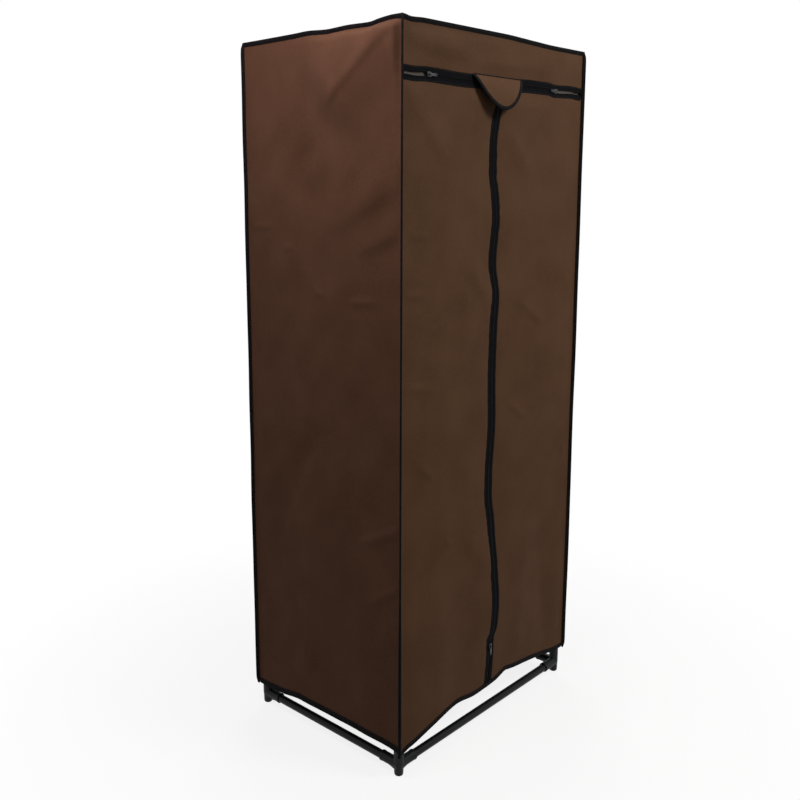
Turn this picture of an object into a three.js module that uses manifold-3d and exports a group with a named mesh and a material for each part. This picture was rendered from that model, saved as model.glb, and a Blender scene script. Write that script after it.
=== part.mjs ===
// A portable fabric wardrobe: a push-fit frame of steel tube on moulded corner connectors,
// inside a fitted cloth cover whose front opens along a T-shaped zip.
// Millimetres, +Z up, front towards -Y, origin on the floor under the middle of its box.
import * as THREE from 'three';
import { mergeVertices } from 'three/addons/utils/BufferGeometryUtils.js';
import Module from 'manifold-3d';

// Cover, measured to the middle of the cloth
const coverWidth = 650;
const coverDepth = 470;
const coverHeight = 1594;
const clothThickness = 1.2;

// Space left between two pieces that touch, and how far a cut runs past its piece
const clearance = 0.3;
const overrun = 1;

// Steel tube
const tubeRadius = 9.5;
const tubeWall = 1;
const postJointHeight = 790;
const spigotLength = 38;
const spigotTaper = 5;

// Moulded connectors
const socketWall = 1.7;
const socketDepth = 32;
const socketCore = 17;
const collarRise = 0.6;
const collarLength = 5;
const railHeight = 26;
const footRadius = 11;
const footTaper = 0.8;
const footRound = 4;
const footHeight = 9;
const gussetThickness = 6;
const hangerDrop = 38;
const hangerWebThickness = 9;
const hangerCore = 8;

// Folded binding tape on the seams and hems
const tapeThickness = 0.8;
const seamTapeWidth = 8.5;
const topTapeWidth = 11;
const hemTapeWidth = 10;
const seamStart = 1;
const lipReach = 6.2;

// Front: header, zip and the clearances of the leaves
const headerDepth = 97;
const zipTapeWidth = 11;
const zipTapeThickness = 1;
const chainWidth = 2.6;
const chainThickness = 2.4;
const leafPivotInset = 3.3;
const leftSliderPlace = -246;
const rightSliderPlace = 210;
const centreSliderHeight = 192;
const gapAtCorner = 1.6;
const gapAtHem = 2.6;

// Zip slider and its pull
const sliderLength = 12;
const sliderPlate = 1;
const sliderFlange = 1;
const sliderPost = 1;
const sliderFlare = 0.5;
const bridgeLength = 8;
const bridgeHeight = 3.2;
const bridgeBar = 1;
const bridgeWidth = 2;
const pullLength = 22;
const pullWidth = 5;
const pullFlare = 1;
const pullThickness = 1;
const pullEye = 5.4;
const pullEyeBar = 0.6;
const pullHoleRadius = 1.3;

// Flap over the meeting point of the three zips
const flapWidth = 178;
const flapDrop = 78;
const flapTapeWidth = 8;
const flapStandOff = 19;
const flapCurl = 16;

// Hem heights and folds of the cloth
const frontHem = 54;
const frontHemArch = 40;
const frontHemRipple = 6;
const sideHem = 66;
const sideHemDroop = 13;
const sideHemDroopLength = 150;
const foldRise = 6;
const billowRise = 3;

// Facets
const tubeSides = 16;
const connectorSides = 16;
const roundSteps = 3;
const flapSteps = 16;
const flapRows = 9;

// Shapes of the hems and folds, as shares of the panel they lie on
const hemArchPowerShare = 0.6;
const hemRippleStartShare = 0.29;
const hemRippleLengthShare = 0.32;
const flapEdgePowerShare = 4 / 3;
const flapSideShare = 0.93;
const foldWidthShare = 0.09;
// Each fold runs from one point to the other: across the panel, then up it.
const leftFoldShares = [
  { from: [0.02, 0.99], to: [0.42, 0.86], rise: 1 },
  { from: [0.42, 0.86], to: [0.6, 0.6], rise: 0.45 },
  { from: [0.75, 0.1], to: [0.6, 0.45], rise: 0.6 },
  { from: [0.25, 0.05], to: [0.3, 0.4], rise: 0.5 },
];
const rightFoldShares = [
  { from: [0.98, 0.97], to: [0.6, 0.82], rise: 0.8 },
  { from: [0.3, 0.08], to: [0.4, 0.5], rise: 0.5 },
  { from: [0.7, 0.04], to: [0.64, 0.36], rise: 0.5 },
];
const backFoldShares = [
  { from: [0.03, 0.98], to: [0.3, 0.84], rise: 0.8 },
  { from: [0.97, 0.98], to: [0.72, 0.86], rise: 0.8 },
  { from: [0.4, 0.03], to: [0.46, 0.5], rise: 0.6 },
  { from: [0.72, 0.05], to: [0.66, 0.4], rise: 0.5 },
];
const leftDoorFoldShares = [
  { from: [0.1, 0.97], to: [0.5, 0.7], rise: 0.5 },
  { from: [0.35, 0.03], to: [0.5, 0.4], rise: 0.8 },
];
const rightDoorFoldShares = [
  { from: [0.9, 0.96], to: [0.5, 0.72], rise: 0.5 },
  { from: [0.45, 0.03], to: [0.55, 0.34], rise: 0.9 },
];

// Sizes worked out from the ones above
const halfWidth = coverWidth / 2;
const halfDepth = coverDepth / 2;
const halfCloth = clothThickness / 2;
const zipHeight = coverHeight - headerDepth;
const socketRadius = tubeRadius + clearance + socketWall;
const collarRadius = socketRadius + collarRise;
const hemInner = halfCloth + clearance;
const hemOuter = hemInner + tapeThickness;
const postInset = hemOuter + clearance + collarRadius;
const postX = halfWidth - postInset;
const postY = halfDepth - postInset;
const topRailHeight = coverHeight - halfCloth - clearance - collarRadius;
const hangingRailHeight = topRailHeight - hangerDrop;
const tubeStart = socketCore + clearance;

const halfPost = sliderPost / 2;
const rowInner = halfPost + clearance;
const rowOuter = rowInner + chainWidth;
const bandHalf = rowOuter + zipTapeWidth;
const channelHalf = rowOuter + clearance;
const sliderHalfWidth = channelHalf + sliderFlange + sliderFlare;
const tapeNotch = sliderHalfWidth + clearance;
const zipTapeEdge = (rowInner + rowOuter) / 2;
const plateInner = chainThickness / 2 + clearance;
const plateOuter = plateInner + sliderPlate;
const slotHalf = zipTapeThickness / 2 + clearance;
const pullAxisHeight = plateOuter + (bridgeHeight - bridgeBar) / 2;
const chainToSlider = sliderLength / 2 + clearance;

const headerBottom = zipHeight + bandHalf + clearance;
const doorTop = zipHeight - bandHalf - clearance;
const clothTop = coverHeight - clothThickness - clearance;
const leafPivotX = halfWidth - leafPivotInset;
const leafEdgeX = halfWidth - halfCloth - clearance;
const leafInnerX = bandHalf + clearance;

// The top binding and the flap stand out of the cover by different amounts,
// so the middle of the whole box lies a little in front of the middle of the cover.
const diagonal = Math.SQRT1_2;
const lipHalfSpacing = (halfCloth * diagonal) + clearance / 2;
const lipBend = lipHalfSpacing / diagonal;
const lipOut = lipReach * diagonal;
const seamInner = lipHalfSpacing + halfCloth * diagonal + clearance;
const seamOuter = seamInner + tapeThickness;
// A leaf's hem binding starts far enough from the pivot to swing past the corner binding.
const leafHemStart = leafPivotX - 2 * (seamOuter + hemOuter);
const topTapeEnd = seamStart + topTapeWidth;
const flapRootOut = zipTapeThickness / 2 + clearance + halfCloth;
const flapTapeInner = halfCloth + 2 * clearance;
const flapTapeOuter = flapTapeInner + tapeThickness;
const flapTipOut = (drop) => flapStandOff * (1 - Math.exp(-drop / flapCurl));
const seamReach = (topTapeEnd + seamOuter) * diagonal;
const flapSlopeAtTip = (flapStandOff / flapCurl) * Math.exp(-flapDrop / flapCurl);
const flapReach = flapRootOut + flapTipOut(flapDrop) + flapTapeOuter / Math.hypot(1, flapSlopeAtTip);
const frontSetBack = (Math.max(flapReach, seamReach) - seamReach) / 2;

const fabricBrown = new THREE.MeshStandardMaterial({ color: 0x5a3e2e, roughness: 0.9 });
const tapeBlack = new THREE.MeshStandardMaterial({ color: 0x1c1a1b, roughness: 0.95 });
const zipBlack = new THREE.MeshStandardMaterial({ color: 0x222225, roughness: 0.8 });
const coatedSteel = new THREE.MeshStandardMaterial({ color: 0x17181a, roughness: 0.45, metalness: 0.3 });
const mouldedBlack = new THREE.MeshStandardMaterial({ color: 0x101112, roughness: 0.55 });
const sliderMetal = new THREE.MeshStandardMaterial({ color: 0x2b2b2d, roughness: 0.4, metalness: 0.6 });

const wasm = await Module();
wasm.setup();

const axisX = new THREE.Vector3(1, 0, 0);
const axisY = new THREE.Vector3(0, 1, 0);
const axisZ = new THREE.Vector3(0, 0, 1);
const down = new THREE.Vector3(0, 0, -1);

// A closed geometry as a solid that can be joined and cut.
function solidOf(geometry) {
  const bare = geometry.clone();
  bare.deleteAttribute('normal');
  bare.deleteAttribute('uv');
  const merged = mergeVertices(bare, clearance / 100);
  return new wasm.Manifold(new wasm.Mesh({
    numProp: 3,
    vertProperties: merged.attributes.position.array,
    triVerts: new Uint32Array(merged.index.array),
  }));
}

function geometryOf(solid) {
  const { vertProperties, triVerts } = solid.getMesh();
  const geometry = new THREE.BufferGeometry();
  geometry.setAttribute('position', new THREE.BufferAttribute(new Float32Array(vertProperties), 3));
  geometry.setIndex(new THREE.BufferAttribute(new Uint32Array(triVerts), 1));
  geometry.computeVertexNormals();
  return geometry;
}

// Joins closed geometries into one.
function joined(...geometries) {
  return geometryOf(geometries.map(solidOf).reduce((a, b) => a.add(b)));
}

// Turns a geometry whose faces point inwards.
function facingOut(vertices, faces) {
  const volume = faces.reduce((sum, [a, b, c]) => {
    const cross = new THREE.Vector3().crossVectors(vertices[b], vertices[c]);
    return sum + vertices[a].dot(cross);
  }, 0);
  const turned = volume < 0 ? faces.map(([a, b, c]) => [a, c, b]) : faces;
  const geometry = new THREE.BufferGeometry().setFromPoints(vertices);
  geometry.setIndex(turned.flat());
  geometry.computeVertexNormals();
  return geometry;
}

// Places a section's [a, b] points flat at a station, a along one direction and b along another.
const flatAt = (at, alongA, alongB) => (a, b) =>
  at.clone().addScaledVector(alongA, a).addScaledVector(alongB, b);

// A section carried along stations, each a function that places the section's points.
function sweep(section, stations, closed = false) {
  const vertices = stations.flatMap((place) => section.map(([a, b]) => place(a, b)));
  const count = section.length;
  const faces = [];
  const last = closed ? stations.length : stations.length - 1;
  for (let s = 0; s < last; s++) {
    const here = s * count;
    const there = ((s + 1) % stations.length) * count;
    for (let k = 0; k < count; k++) {
      const next = (k + 1) % count;
      faces.push([here + k, here + next, there + next], [here + k, there + next, there + k]);
    }
  }
  if (!closed) {
    const end = (stations.length - 1) * count;
    const outline = section.map(([a, b]) => new THREE.Vector2(a, b));
    for (const [a, b, c] of THREE.ShapeUtils.triangulateShape(outline, [])) {
      faces.push([a, c, b], [end + a, end + b, end + c]);
    }
  }
  return facingOut(vertices, faces);
}

// A sheet of cloth: the points place(column, row) thickened to both sides along one direction.
// Each cell is split along its longer diagonal, which mitres the corners of a turned-up rim.
function clothSheet(columns, rows, place, thickness, direction) {
  const vertices = [];
  for (const side of [thickness / 2, -thickness / 2]) {
    for (const row of rows) {
      for (const column of columns) vertices.push(place(column, row).addScaledVector(direction, side));
    }
  }
  const wide = columns.length;
  const high = rows.length;
  const back = wide * high;
  const at = (c, r) => r * wide + c;
  const faces = [];
  for (let r = 0; r < high - 1; r++) {
    for (let c = 0; c < wide - 1; c++) {
      const ring = [at(c, r), at(c + 1, r), at(c + 1, r + 1), at(c, r + 1)];
      const [p, q, s, t] = ring.map((index) => vertices[index]);
      const [i, j, k, l] = p.distanceTo(s) < q.distanceTo(t) ? [...ring.slice(1), ring[0]] : ring;
      faces.push([i, j, k], [i, k, l], [back + i, back + k, back + j], [back + i, back + l, back + k]);
    }
  }
  const rim = [];
  for (let c = 0; c < wide; c++) rim.push(at(c, 0));
  for (let r = 1; r < high; r++) rim.push(at(wide - 1, r));
  for (let c = wide - 2; c >= 0; c--) rim.push(at(c, high - 1));
  for (let r = high - 2; r > 0; r--) rim.push(at(0, r));
  rim.forEach((a, i) => {
    const b = rim[(i + 1) % rim.length];
    faces.push([a, back + b, b], [a, back + a, back + b]);
  });
  return facingOut(vertices, faces);
}

function evenly(from, to, steps) {
  return Array.from({ length: steps + 1 }, (_, i) => from + ((to - from) * i) / steps);
}

// How far a fold lifts the cloth at a point, both as shares of the panel.
function foldLift(folds, across, up) {
  return folds.reduce((sum, { from, to, rise }) => {
    const [ax, ay] = from;
    const [dx, dy] = [to[0] - ax, to[1] - ay];
    const along = ((across - ax) * dx + (up - ay) * dy) / (dx * dx + dy * dy);
    const near = Math.min(1, Math.max(0, along));
    const away = Math.hypot(across - ax - near * dx, up - ay - near * dy) / foldWidthShare;
    return sum + rise * Math.exp(-away * away);
  }, 0);
}

const boundShare = hemTapeWidth / coverHeight;

// Folds and a slow billow, both flat at the panel's edges and inside the hem's binding.
function clothLift(folds, across, up) {
  const held = Math.sin(Math.PI * Math.min(1, Math.max(0, across)));
  const free = (up - boundShare) / (1 - boundShare);
  const open = Math.sin(Math.PI * Math.min(1, Math.max(0, free)));
  const swell = Math.sqrt(Math.max(0, open));
  return held * (foldRise * foldLift(folds, across, up) * swell + billowRise * open);
}

const frontHemAt = (x) => {
  const share = Math.min(1, Math.max(0, (x + halfWidth) / coverWidth));
  const arch = Math.sin(Math.PI * share);
  const ripple = Math.cos((2 * Math.PI * (share - hemRippleStartShare)) / hemRippleLengthShare);
  return frontHem + frontHemArch * arch ** hemArchPowerShare + frontHemRipple * arch * arch * ripple;
};
const sideHemAt = (y) => {
  const share = Math.min(1, Math.max(0, (halfDepth - y) / sideHemDroopLength));
  return sideHem - sideHemDroop * (1 - share) * (1 - share);
};
const backHemAt = () => sideHem - sideHemDroop;

// Folded tape: a channel that is open towards the cloth that it binds.
function channel(inner, outer, width, start = 0) {
  return [
    [-outer, start], [-inner, start], [-inner, start + width - tapeThickness],
    [inner, start + width - tapeThickness], [inner, start], [outer, start],
    [outer, start + width], [-outer, start + width],
  ];
}

const wardrobe = new THREE.Group();
const body = new THREE.Group();
body.position.y = frontSetBack;
wardrobe.add(body);

function add(name, geometry, material, x = 0, y = 0, z = 0) {
  const mesh = new THREE.Mesh(geometry, material);
  mesh.name = name;
  mesh.position.set(x, y, z);
  body.add(mesh);
  return mesh;
}

// Turns a shape made along +Z so that it points along a direction.
function pointing(geometry, direction) {
  const turn = new THREE.Quaternion().setFromUnitVectors(axisZ, direction);
  return geometry.applyQuaternion(turn);
}

function revolved(points, sides) {
  const profile = points.map(([r, z]) => new THREE.Vector2(r, z));
  return new THREE.LatheGeometry(profile, sides).rotateX(Math.PI / 2);
}

// Frame tubes: a plain length, and a post's lower length with a drawn-in spigot.
function plainTube(length) {
  const bore = tubeRadius - tubeWall;
  return revolved([[bore, 0], [tubeRadius, 0], [tubeRadius, length], [bore, length], [bore, 0]], tubeSides);
}

function spigotTube(length) {
  const bore = tubeRadius - tubeWall;
  const spigot = bore - clearance;
  const throat = spigot - tubeWall;
  const end = length + spigotLength;
  return revolved([
    [bore, 0], [tubeRadius, 0], [tubeRadius, length], [spigot, length], [spigot, end],
    [throat, end], [throat, length], [bore, length - spigotTaper], [bore, 0],
  ], tubeSides);
}

function addTube(name, from, to, geometry = plainTube(from.distanceTo(to))) {
  const direction = to.clone().sub(from).normalize();
  add(name, pointing(geometry, direction), coatedSteel, from.x, from.y, from.z);
}

// One socket of a connector, from the middle of its core to its mouth.
function socketArm(direction, core = socketCore) {
  const bore = tubeRadius + clearance;
  const mouth = core + socketDepth;
  const arm = revolved([
    [0, 0], [socketRadius, 0], [socketRadius, mouth - collarLength],
    [collarRadius, mouth - collarLength + collarRise], [collarRadius, mouth],
    [bore, mouth], [bore, core], [0, core],
  ], connectorSides);
  return pointing(arm, direction);
}

// The bores of sockets that share one core.
function boredSockets(directions, core = socketCore) {
  const [from, to] = [core, core + socketDepth + overrun];
  const radius = tubeRadius + clearance;
  const bore = revolved([[0, from], [radius, from], [radius, to], [0, to]], connectorSides);
  const bores = directions.map((direction) => solidOf(pointing(bore.clone(), direction)));
  return bores.reduce((a, b) => a.add(b));
}

function socketBall() {
  return new THREE.SphereGeometry(socketRadius, connectorSides, connectorSides / 2).rotateX(Math.PI / 2);
}

// The short rounded foot under a bottom connector.
function foot() {
  const low = footRadius - footTaper;
  const round = Array.from({ length: roundSteps + 1 }, (_, i) => {
    const angle = (Math.PI / 2) * (i / roundSteps);
    return [low - footRound * (1 - Math.sin(angle)), footRound * (1 - Math.cos(angle)) - railHeight];
  });
  return revolved([[0, -railHeight], ...round, [footRadius, 0], [0, 0]], connectorSides);
}

// The web that slopes from the foot up to the mouth of a socket, which points along +X or +Y.
function gusset(direction) {
  const end = socketCore + socketDepth - collarLength;
  const side = new THREE.Shape();
  side.moveTo(0, 0);
  side.lineTo(0, footHeight - railHeight);
  side.lineTo(footRadius, footHeight - railHeight);
  side.quadraticCurveTo((footRadius + end) / 2, -socketRadius - collarRise, end, collarRise - socketRadius);
  side.lineTo(end, 0);
  side.closePath();
  const web = new THREE.ExtrudeGeometry(side, {
    depth: gussetThickness, bevelEnabled: false, curveSegments: roundSteps,
  });
  web.translate(0, 0, -gussetThickness / 2).rotateX(Math.PI / 2);
  return web.rotateZ(Math.atan2(direction.y, direction.x));
}

function addConnectors() {
  const sides = { left: -1, right: 1 };
  const ends = { front: -1, back: 1 };
  for (const [end, y] of Object.entries(ends)) {
    for (const [side, x] of Object.entries(sides)) {
      const inwardX = axisX.clone().multiplyScalar(-x);
      const inwardY = axisY.clone().multiplyScalar(-y);
      const arms = [socketBall(), socketArm(inwardX), socketArm(inwardY)];
      const bored = boredSockets([inwardX, inwardY, axisZ]);
      const webs = joined(...arms, socketArm(axisZ), foot(), gusset(inwardX), gusset(inwardY));
      const low = geometryOf(solidOf(webs).subtract(bored));
      const high = joined(...arms, socketArm(down));
      add(`foot_connector_${end}_${side}`, low, mouldedBlack, x * postX, y * postY, railHeight);
      add(`top_connector_${end}_${side}`, high, mouldedBlack, x * postX, y * postY, topRailHeight);
    }
  }
}

// The piece in the middle of each side top rail, which carries one end of the hanging rail.
function addHangingSockets() {
  for (const [side, x] of [['left', -1], ['right', 1]]) {
    const web = new THREE.Shape();
    web.moveTo(-socketRadius * diagonal, -overrun);
    web.lineTo(-socketRadius * diagonal, -hangerDrop);
    web.lineTo(socketRadius + hangerCore, -hangerDrop);
    web.lineTo(socketRadius * diagonal, -overrun);
    web.closePath();
    const plate = new THREE.ExtrudeGeometry(web, { depth: hangerWebThickness, bevelEnabled: false });
    plate.translate(0, 0, -hangerWebThickness / 2).rotateX(Math.PI / 2);
    if (x > 0) plate.rotateZ(Math.PI);
    const inward = axisX.clone().multiplyScalar(-x);
    const lower = socketArm(inward, hangerCore).translate(0, 0, -hangerDrop);
    const through = boredSockets([inward], hangerCore).translate([0, 0, -hangerDrop]);
    const sleeve = joined(socketArm(axisY), socketArm(axisY.clone().negate()), plate, lower);
    const solid = geometryOf(solidOf(sleeve).subtract(through));
    add(`hanging_rail_socket_${side}`, solid, mouldedBlack, x * postX, 0, topRailHeight);
  }
}

function addPosts() {
  for (const [end, y] of [['front', -postY], ['back', postY]]) {
    for (const [side, x] of [['left', -postX], ['right', postX]]) {
      const base = new THREE.Vector3(x, y, railHeight + tubeStart);
      const middle = new THREE.Vector3(x, y, postJointHeight);
      const upper = new THREE.Vector3(x, y, postJointHeight + clearance);
      const top = new THREE.Vector3(x, y, topRailHeight - tubeStart);
      addTube(`post_${end}_${side}_lower`, base, middle, spigotTube(base.distanceTo(middle)));
      addTube(`post_${end}_${side}_upper`, upper, top);
    }
  }
}

function addRails() {
  const point = (x, y, z) => new THREE.Vector3(x, y, z);
  const acrossEnd = postX - tubeStart;
  const alongEnd = postY - tubeStart;
  for (const [end, y] of [['front', -postY], ['back', postY]]) {
    addTube(`bottom_rail_${end}`, point(-acrossEnd, y, railHeight), point(acrossEnd, y, railHeight));
    addTube(`top_rail_${end}`, point(-acrossEnd, y, topRailHeight), point(acrossEnd, y, topRailHeight));
  }
  for (const [side, x] of [['left', -postX], ['right', postX]]) {
    const [z, t] = [railHeight, topRailHeight];
    addTube(`bottom_rail_${side}`, point(x, -alongEnd, z), point(x, alongEnd, z));
    addTube(`top_rail_${side}_front`, point(x, -alongEnd, t), point(x, -tubeStart, t));
    addTube(`top_rail_${side}_back`, point(x, tubeStart, t), point(x, alongEnd, t));
  }
  const hangEnd = postX - hangerCore - clearance;
  const h = hangingRailHeight;
  addTube('hanging_rail', point(-hangEnd, 0, h), point(hangEnd, 0, h));
}

// Columns across a panel: its edge turned out diagonally into the seam, then evenly between the bends.
function seamedColumns(halfSpan, steps) {
  const bend = halfSpan - lipBend;
  const inner = evenly(-bend, bend, steps).map((along) => ({ along, out: 0 }));
  const tip = bend + lipOut;
  return [{ along: -tip, out: lipOut }, ...inner, { along: tip, out: lipOut }];
}

const cleanHem = tapeThickness + clearance;

// Rows up a panel: one strip inside the hem's binding, which stays flat, then evenly.
const hemmedRows = (steps) => [0, ...evenly(boundShare, 1, steps)];

// The span of a hem's binding: the panel's own columns, drawn in to clear the seams at its ends.
function boundSpan(alongs) {
  const clear = 2 * hemOuter;
  return alongs.map((along, i) => along + (i === 0 ? clear : 0) - (i === alongs.length - 1 ? clear : 0));
}

function addSidePanels() {
  const rows = hemmedRows(14);
  const columns = seamedColumns(halfDepth, 12);
  for (const [side, x, folds] of [['left', -1, leftFoldShares], ['right', 1, rightFoldShares]]) {
    const liftAt = (y, up) => clothLift(folds, (y + halfDepth) / coverDepth, up);
    const place = ({ along, out }, up) => {
      const hem = sideHemAt(along) + cleanHem;
      const lift = out > 0 ? 0 : liftAt(along, up);
      return new THREE.Vector3(x * (halfWidth + out + lift), along, hem + (clothTop - hem) * up);
    };
    add(`cover_${side}_panel`, clothSheet(columns, rows, place, clothThickness, axisX), fabricBrown);
    const stations = boundSpan(columns.slice(1, -1).map(({ along }) => along)).map((y) =>
      flatAt(new THREE.Vector3(x * halfWidth, y, sideHemAt(y) + hemTapeWidth), axisX, down));
    add(`hem_binding_${side}`, sweep(channel(hemInner, hemOuter, hemTapeWidth), stations), tapeBlack);
  }
}

function addBackPanel() {
  const columns = seamedColumns(halfWidth, 14);
  const hem = backHemAt();
  const low = hem + cleanHem;
  const place = ({ along, out }, up) => {
    const lift = out > 0 ? 0 : clothLift(backFoldShares, (along + halfWidth) / coverWidth, up);
    return new THREE.Vector3(along, halfDepth + out + lift, low + (clothTop - low) * up);
  };
  add('cover_back_panel', clothSheet(columns, hemmedRows(12), place, clothThickness, axisY), fabricBrown);
  const stations = boundSpan([-halfWidth + lipBend, halfWidth - lipBend]).map((x) =>
    flatAt(new THREE.Vector3(x, halfDepth, hem + hemTapeWidth), axisY, down));
  add('hem_binding_back', sweep(channel(hemInner, hemOuter, hemTapeWidth), stations), tapeBlack);
}

function addTopPanel() {
  const edge = (half) => [-half - lipOut, -half, ...evenly(-half, half, 6).slice(1, -1), half, half + lipOut];
  const turned = (value, half) => Math.max(0, Math.abs(value) - half);
  const place = (x, y) => {
    const out = Math.max(turned(x, halfWidth), turned(y, halfDepth));
    return new THREE.Vector3(x, y, coverHeight + out);
  };
  const sheet = clothSheet(edge(halfWidth), edge(halfDepth), place, clothThickness, axisZ);
  add('cover_top_panel', sheet, fabricBrown);
}

// The header above the zip, and the upper half of the zip that is sewn to it.
function addHeader() {
  const columns = seamedColumns(halfWidth, 10);
  const place = ({ along, out }, up) => {
    const z = headerBottom + (clothTop - headerBottom) * up;
    return new THREE.Vector3(along, -halfDepth - out, z);
  };
  add('header_panel', clothSheet(columns, evenly(0, 1, 2), place, clothThickness, axisY), fabricBrown);
}

// Flat tape with an outline in X and Z, and the bars of chain along its edge.
function zipHalf(outline, bars) {
  const shape = new THREE.Shape(outline.map(([x, z]) => new THREE.Vector2(x, z)));
  const tape = new THREE.ExtrudeGeometry(shape, { depth: zipTapeThickness, bevelEnabled: false });
  tape.translate(0, 0, -zipTapeThickness / 2).rotateX(Math.PI / 2);
  const rows = bars.map(([x0, z0, x1, z1]) => {
    const bar = new THREE.BoxGeometry(x1 - x0, chainThickness, z1 - z0);
    return bar.translate((x0 + x1) / 2, 0, (z0 + z1) / 2);
  });
  return joined(tape, ...rows);
}

function addZipHalves() {
  const y = -halfDepth;
  const leftChain = leftSliderPlace + chainToSlider;
  const rightChain = rightSliderPlace - chainToSlider;
  const leftNotch = leftSliderPlace - chainToSlider;
  const rightNotch = rightSliderPlace + chainToSlider;
  const headerEnd = halfWidth - lipBend - halfCloth;
  const header = [
    [-headerEnd, zipHeight + bandHalf], [-headerEnd, zipHeight + gapAtCorner],
    [leftNotch, zipHeight + tapeNotch], [leftChain, zipHeight + tapeNotch],
    [leftChain, zipHeight + zipTapeEdge], [rightChain, zipHeight + zipTapeEdge],
    [rightChain, zipHeight + tapeNotch], [rightNotch, zipHeight + tapeNotch],
    [headerEnd, zipHeight + gapAtCorner], [headerEnd, zipHeight + bandHalf],
  ];
  const headerRow = [leftChain, zipHeight + rowInner, rightChain, zipHeight + rowOuter];
  add('zip_half_header', zipHalf(header, [headerRow]), zipBlack, 0, y);

  const chainEnd = centreSliderHeight + chainToSlider;
  const notchEnd = centreSliderHeight - chainToSlider;
  const foldedEnd = frontHemAt(0) + frontHemRipple + cleanHem;
  for (const [side, s, outerChain, notch] of [
    ['left', -1, -leftChain, -leftNotch], ['right', 1, rightChain, rightNotch],
  ]) {
    const outline = [
      [leafPivotX, zipHeight - bandHalf], [leafPivotX, zipHeight - gapAtCorner],
      [notch, zipHeight - tapeNotch], [outerChain, zipHeight - tapeNotch],
      [outerChain, zipHeight - zipTapeEdge], [zipTapeEdge, zipHeight - zipTapeEdge],
      [zipTapeEdge, chainEnd], [tapeNotch, chainEnd], [tapeNotch, notchEnd],
      [gapAtHem, foldedEnd], [bandHalf, foldedEnd], [bandHalf, zipHeight - bandHalf],
    ].map(([x, z]) => [s * x, z]);
    const rows = [
      [rowInner, zipHeight - rowOuter, outerChain, zipHeight - rowInner],
      [rowInner, chainEnd, rowOuter, zipHeight - rowInner],
    ].map(([x0, z0, x1, z1]) => (s < 0 ? [-x1, z0, -x0, z1] : [x0, z0, x1, z1]));
    add(`zip_half_${side}`, zipHalf(outline, rows), zipBlack, 0, y);
  }
}

// The two leaves of the front, each with the binding of its hem.
function addDoors() {
  const rows = hemmedRows(14);
  for (const [side, s, folds] of [['left', -1, leftDoorFoldShares], ['right', 1, rightDoorFoldShares]]) {
    const [outer, inner] = [s * leafEdgeX, s * leafInnerX];
    const across = evenly(s * leafHemStart, inner, 9);
    const xs = [outer, s * leafPivotX, ...across].sort((a, b) => a - b);
    const [first, last] = [Math.min(outer, inner), Math.max(outer, inner)];
    const place = (x, up) => {
      const low = frontHemAt(x) + cleanHem;
      const lift = clothLift(folds, (x - first) / (last - first), up);
      return new THREE.Vector3(x, -halfDepth - lift, low + (doorTop - low) * up);
    };
    add(`door_${side}_panel`, clothSheet(xs, rows, place, clothThickness, axisY), fabricBrown);
    const stations = [...across, s * gapAtHem].map((x) =>
      flatAt(new THREE.Vector3(x, -halfDepth, frontHemAt(x) + hemTapeWidth), axisY, down));
    add(`hem_binding_door_${side}`, sweep(channel(hemInner, hemOuter, hemTapeWidth), stations), tapeBlack);
  }
}

// Standing bindings on the four upright seams, and the ring round the top.
function addSeamBindings() {
  const section = channel(seamInner, seamOuter, seamTapeWidth, seamStart);
  const topSection = channel(seamInner, seamOuter, topTapeWidth, seamStart);
  const top = coverHeight - seamOuter * diagonal - clearance;
  for (const [end, y] of [['front', -1], ['back', 1]]) {
    for (const [side, x] of [['left', -1], ['right', 1]]) {
      const bottom = y < 0 ? frontHem : backHemAt();
      const across = new THREE.Vector3(-x * diagonal, y * diagonal, 0);
      const outward = new THREE.Vector3(x * diagonal, y * diagonal, 0);
      const stations = [bottom, top].map((z) =>
        flatAt(new THREE.Vector3(x * halfWidth, y * halfDepth, z), across, outward));
      add(`corner_binding_${end}_${side}`, sweep(section, stations), tapeBlack);
    }
  }
  const corners = [[-1, -1], [1, -1], [1, 1], [-1, 1]].map(([x, y]) => flatAt(
    new THREE.Vector3(x * halfWidth, y * halfDepth, coverHeight),
    new THREE.Vector3(x * diagonal, y * diagonal, -diagonal),
    new THREE.Vector3(x * diagonal, y * diagonal, diagonal),
  ));
  add('top_binding', sweep(topSection, corners, true), tapeBlack);
}

// The rounded flap, which hangs clear of the zips, and the binding of its edge.
const flapRootHeight = headerBottom - clearance;
const flapHalf = flapWidth / 2;
const flapEdgeDrop = (x) => flapDrop * (1 - Math.abs(x / flapHalf) ** flapEdgePowerShare);
const flapPlace = (x, drop) =>
  new THREE.Vector3(x, -halfDepth - flapRootOut - flapTipOut(drop), flapRootHeight - drop);

function flapNormal(drop) {
  const slope = (flapStandOff / flapCurl) * Math.exp(-drop / flapCurl);
  return new THREE.Vector3(0, -1, slope).normalize();
}

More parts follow.
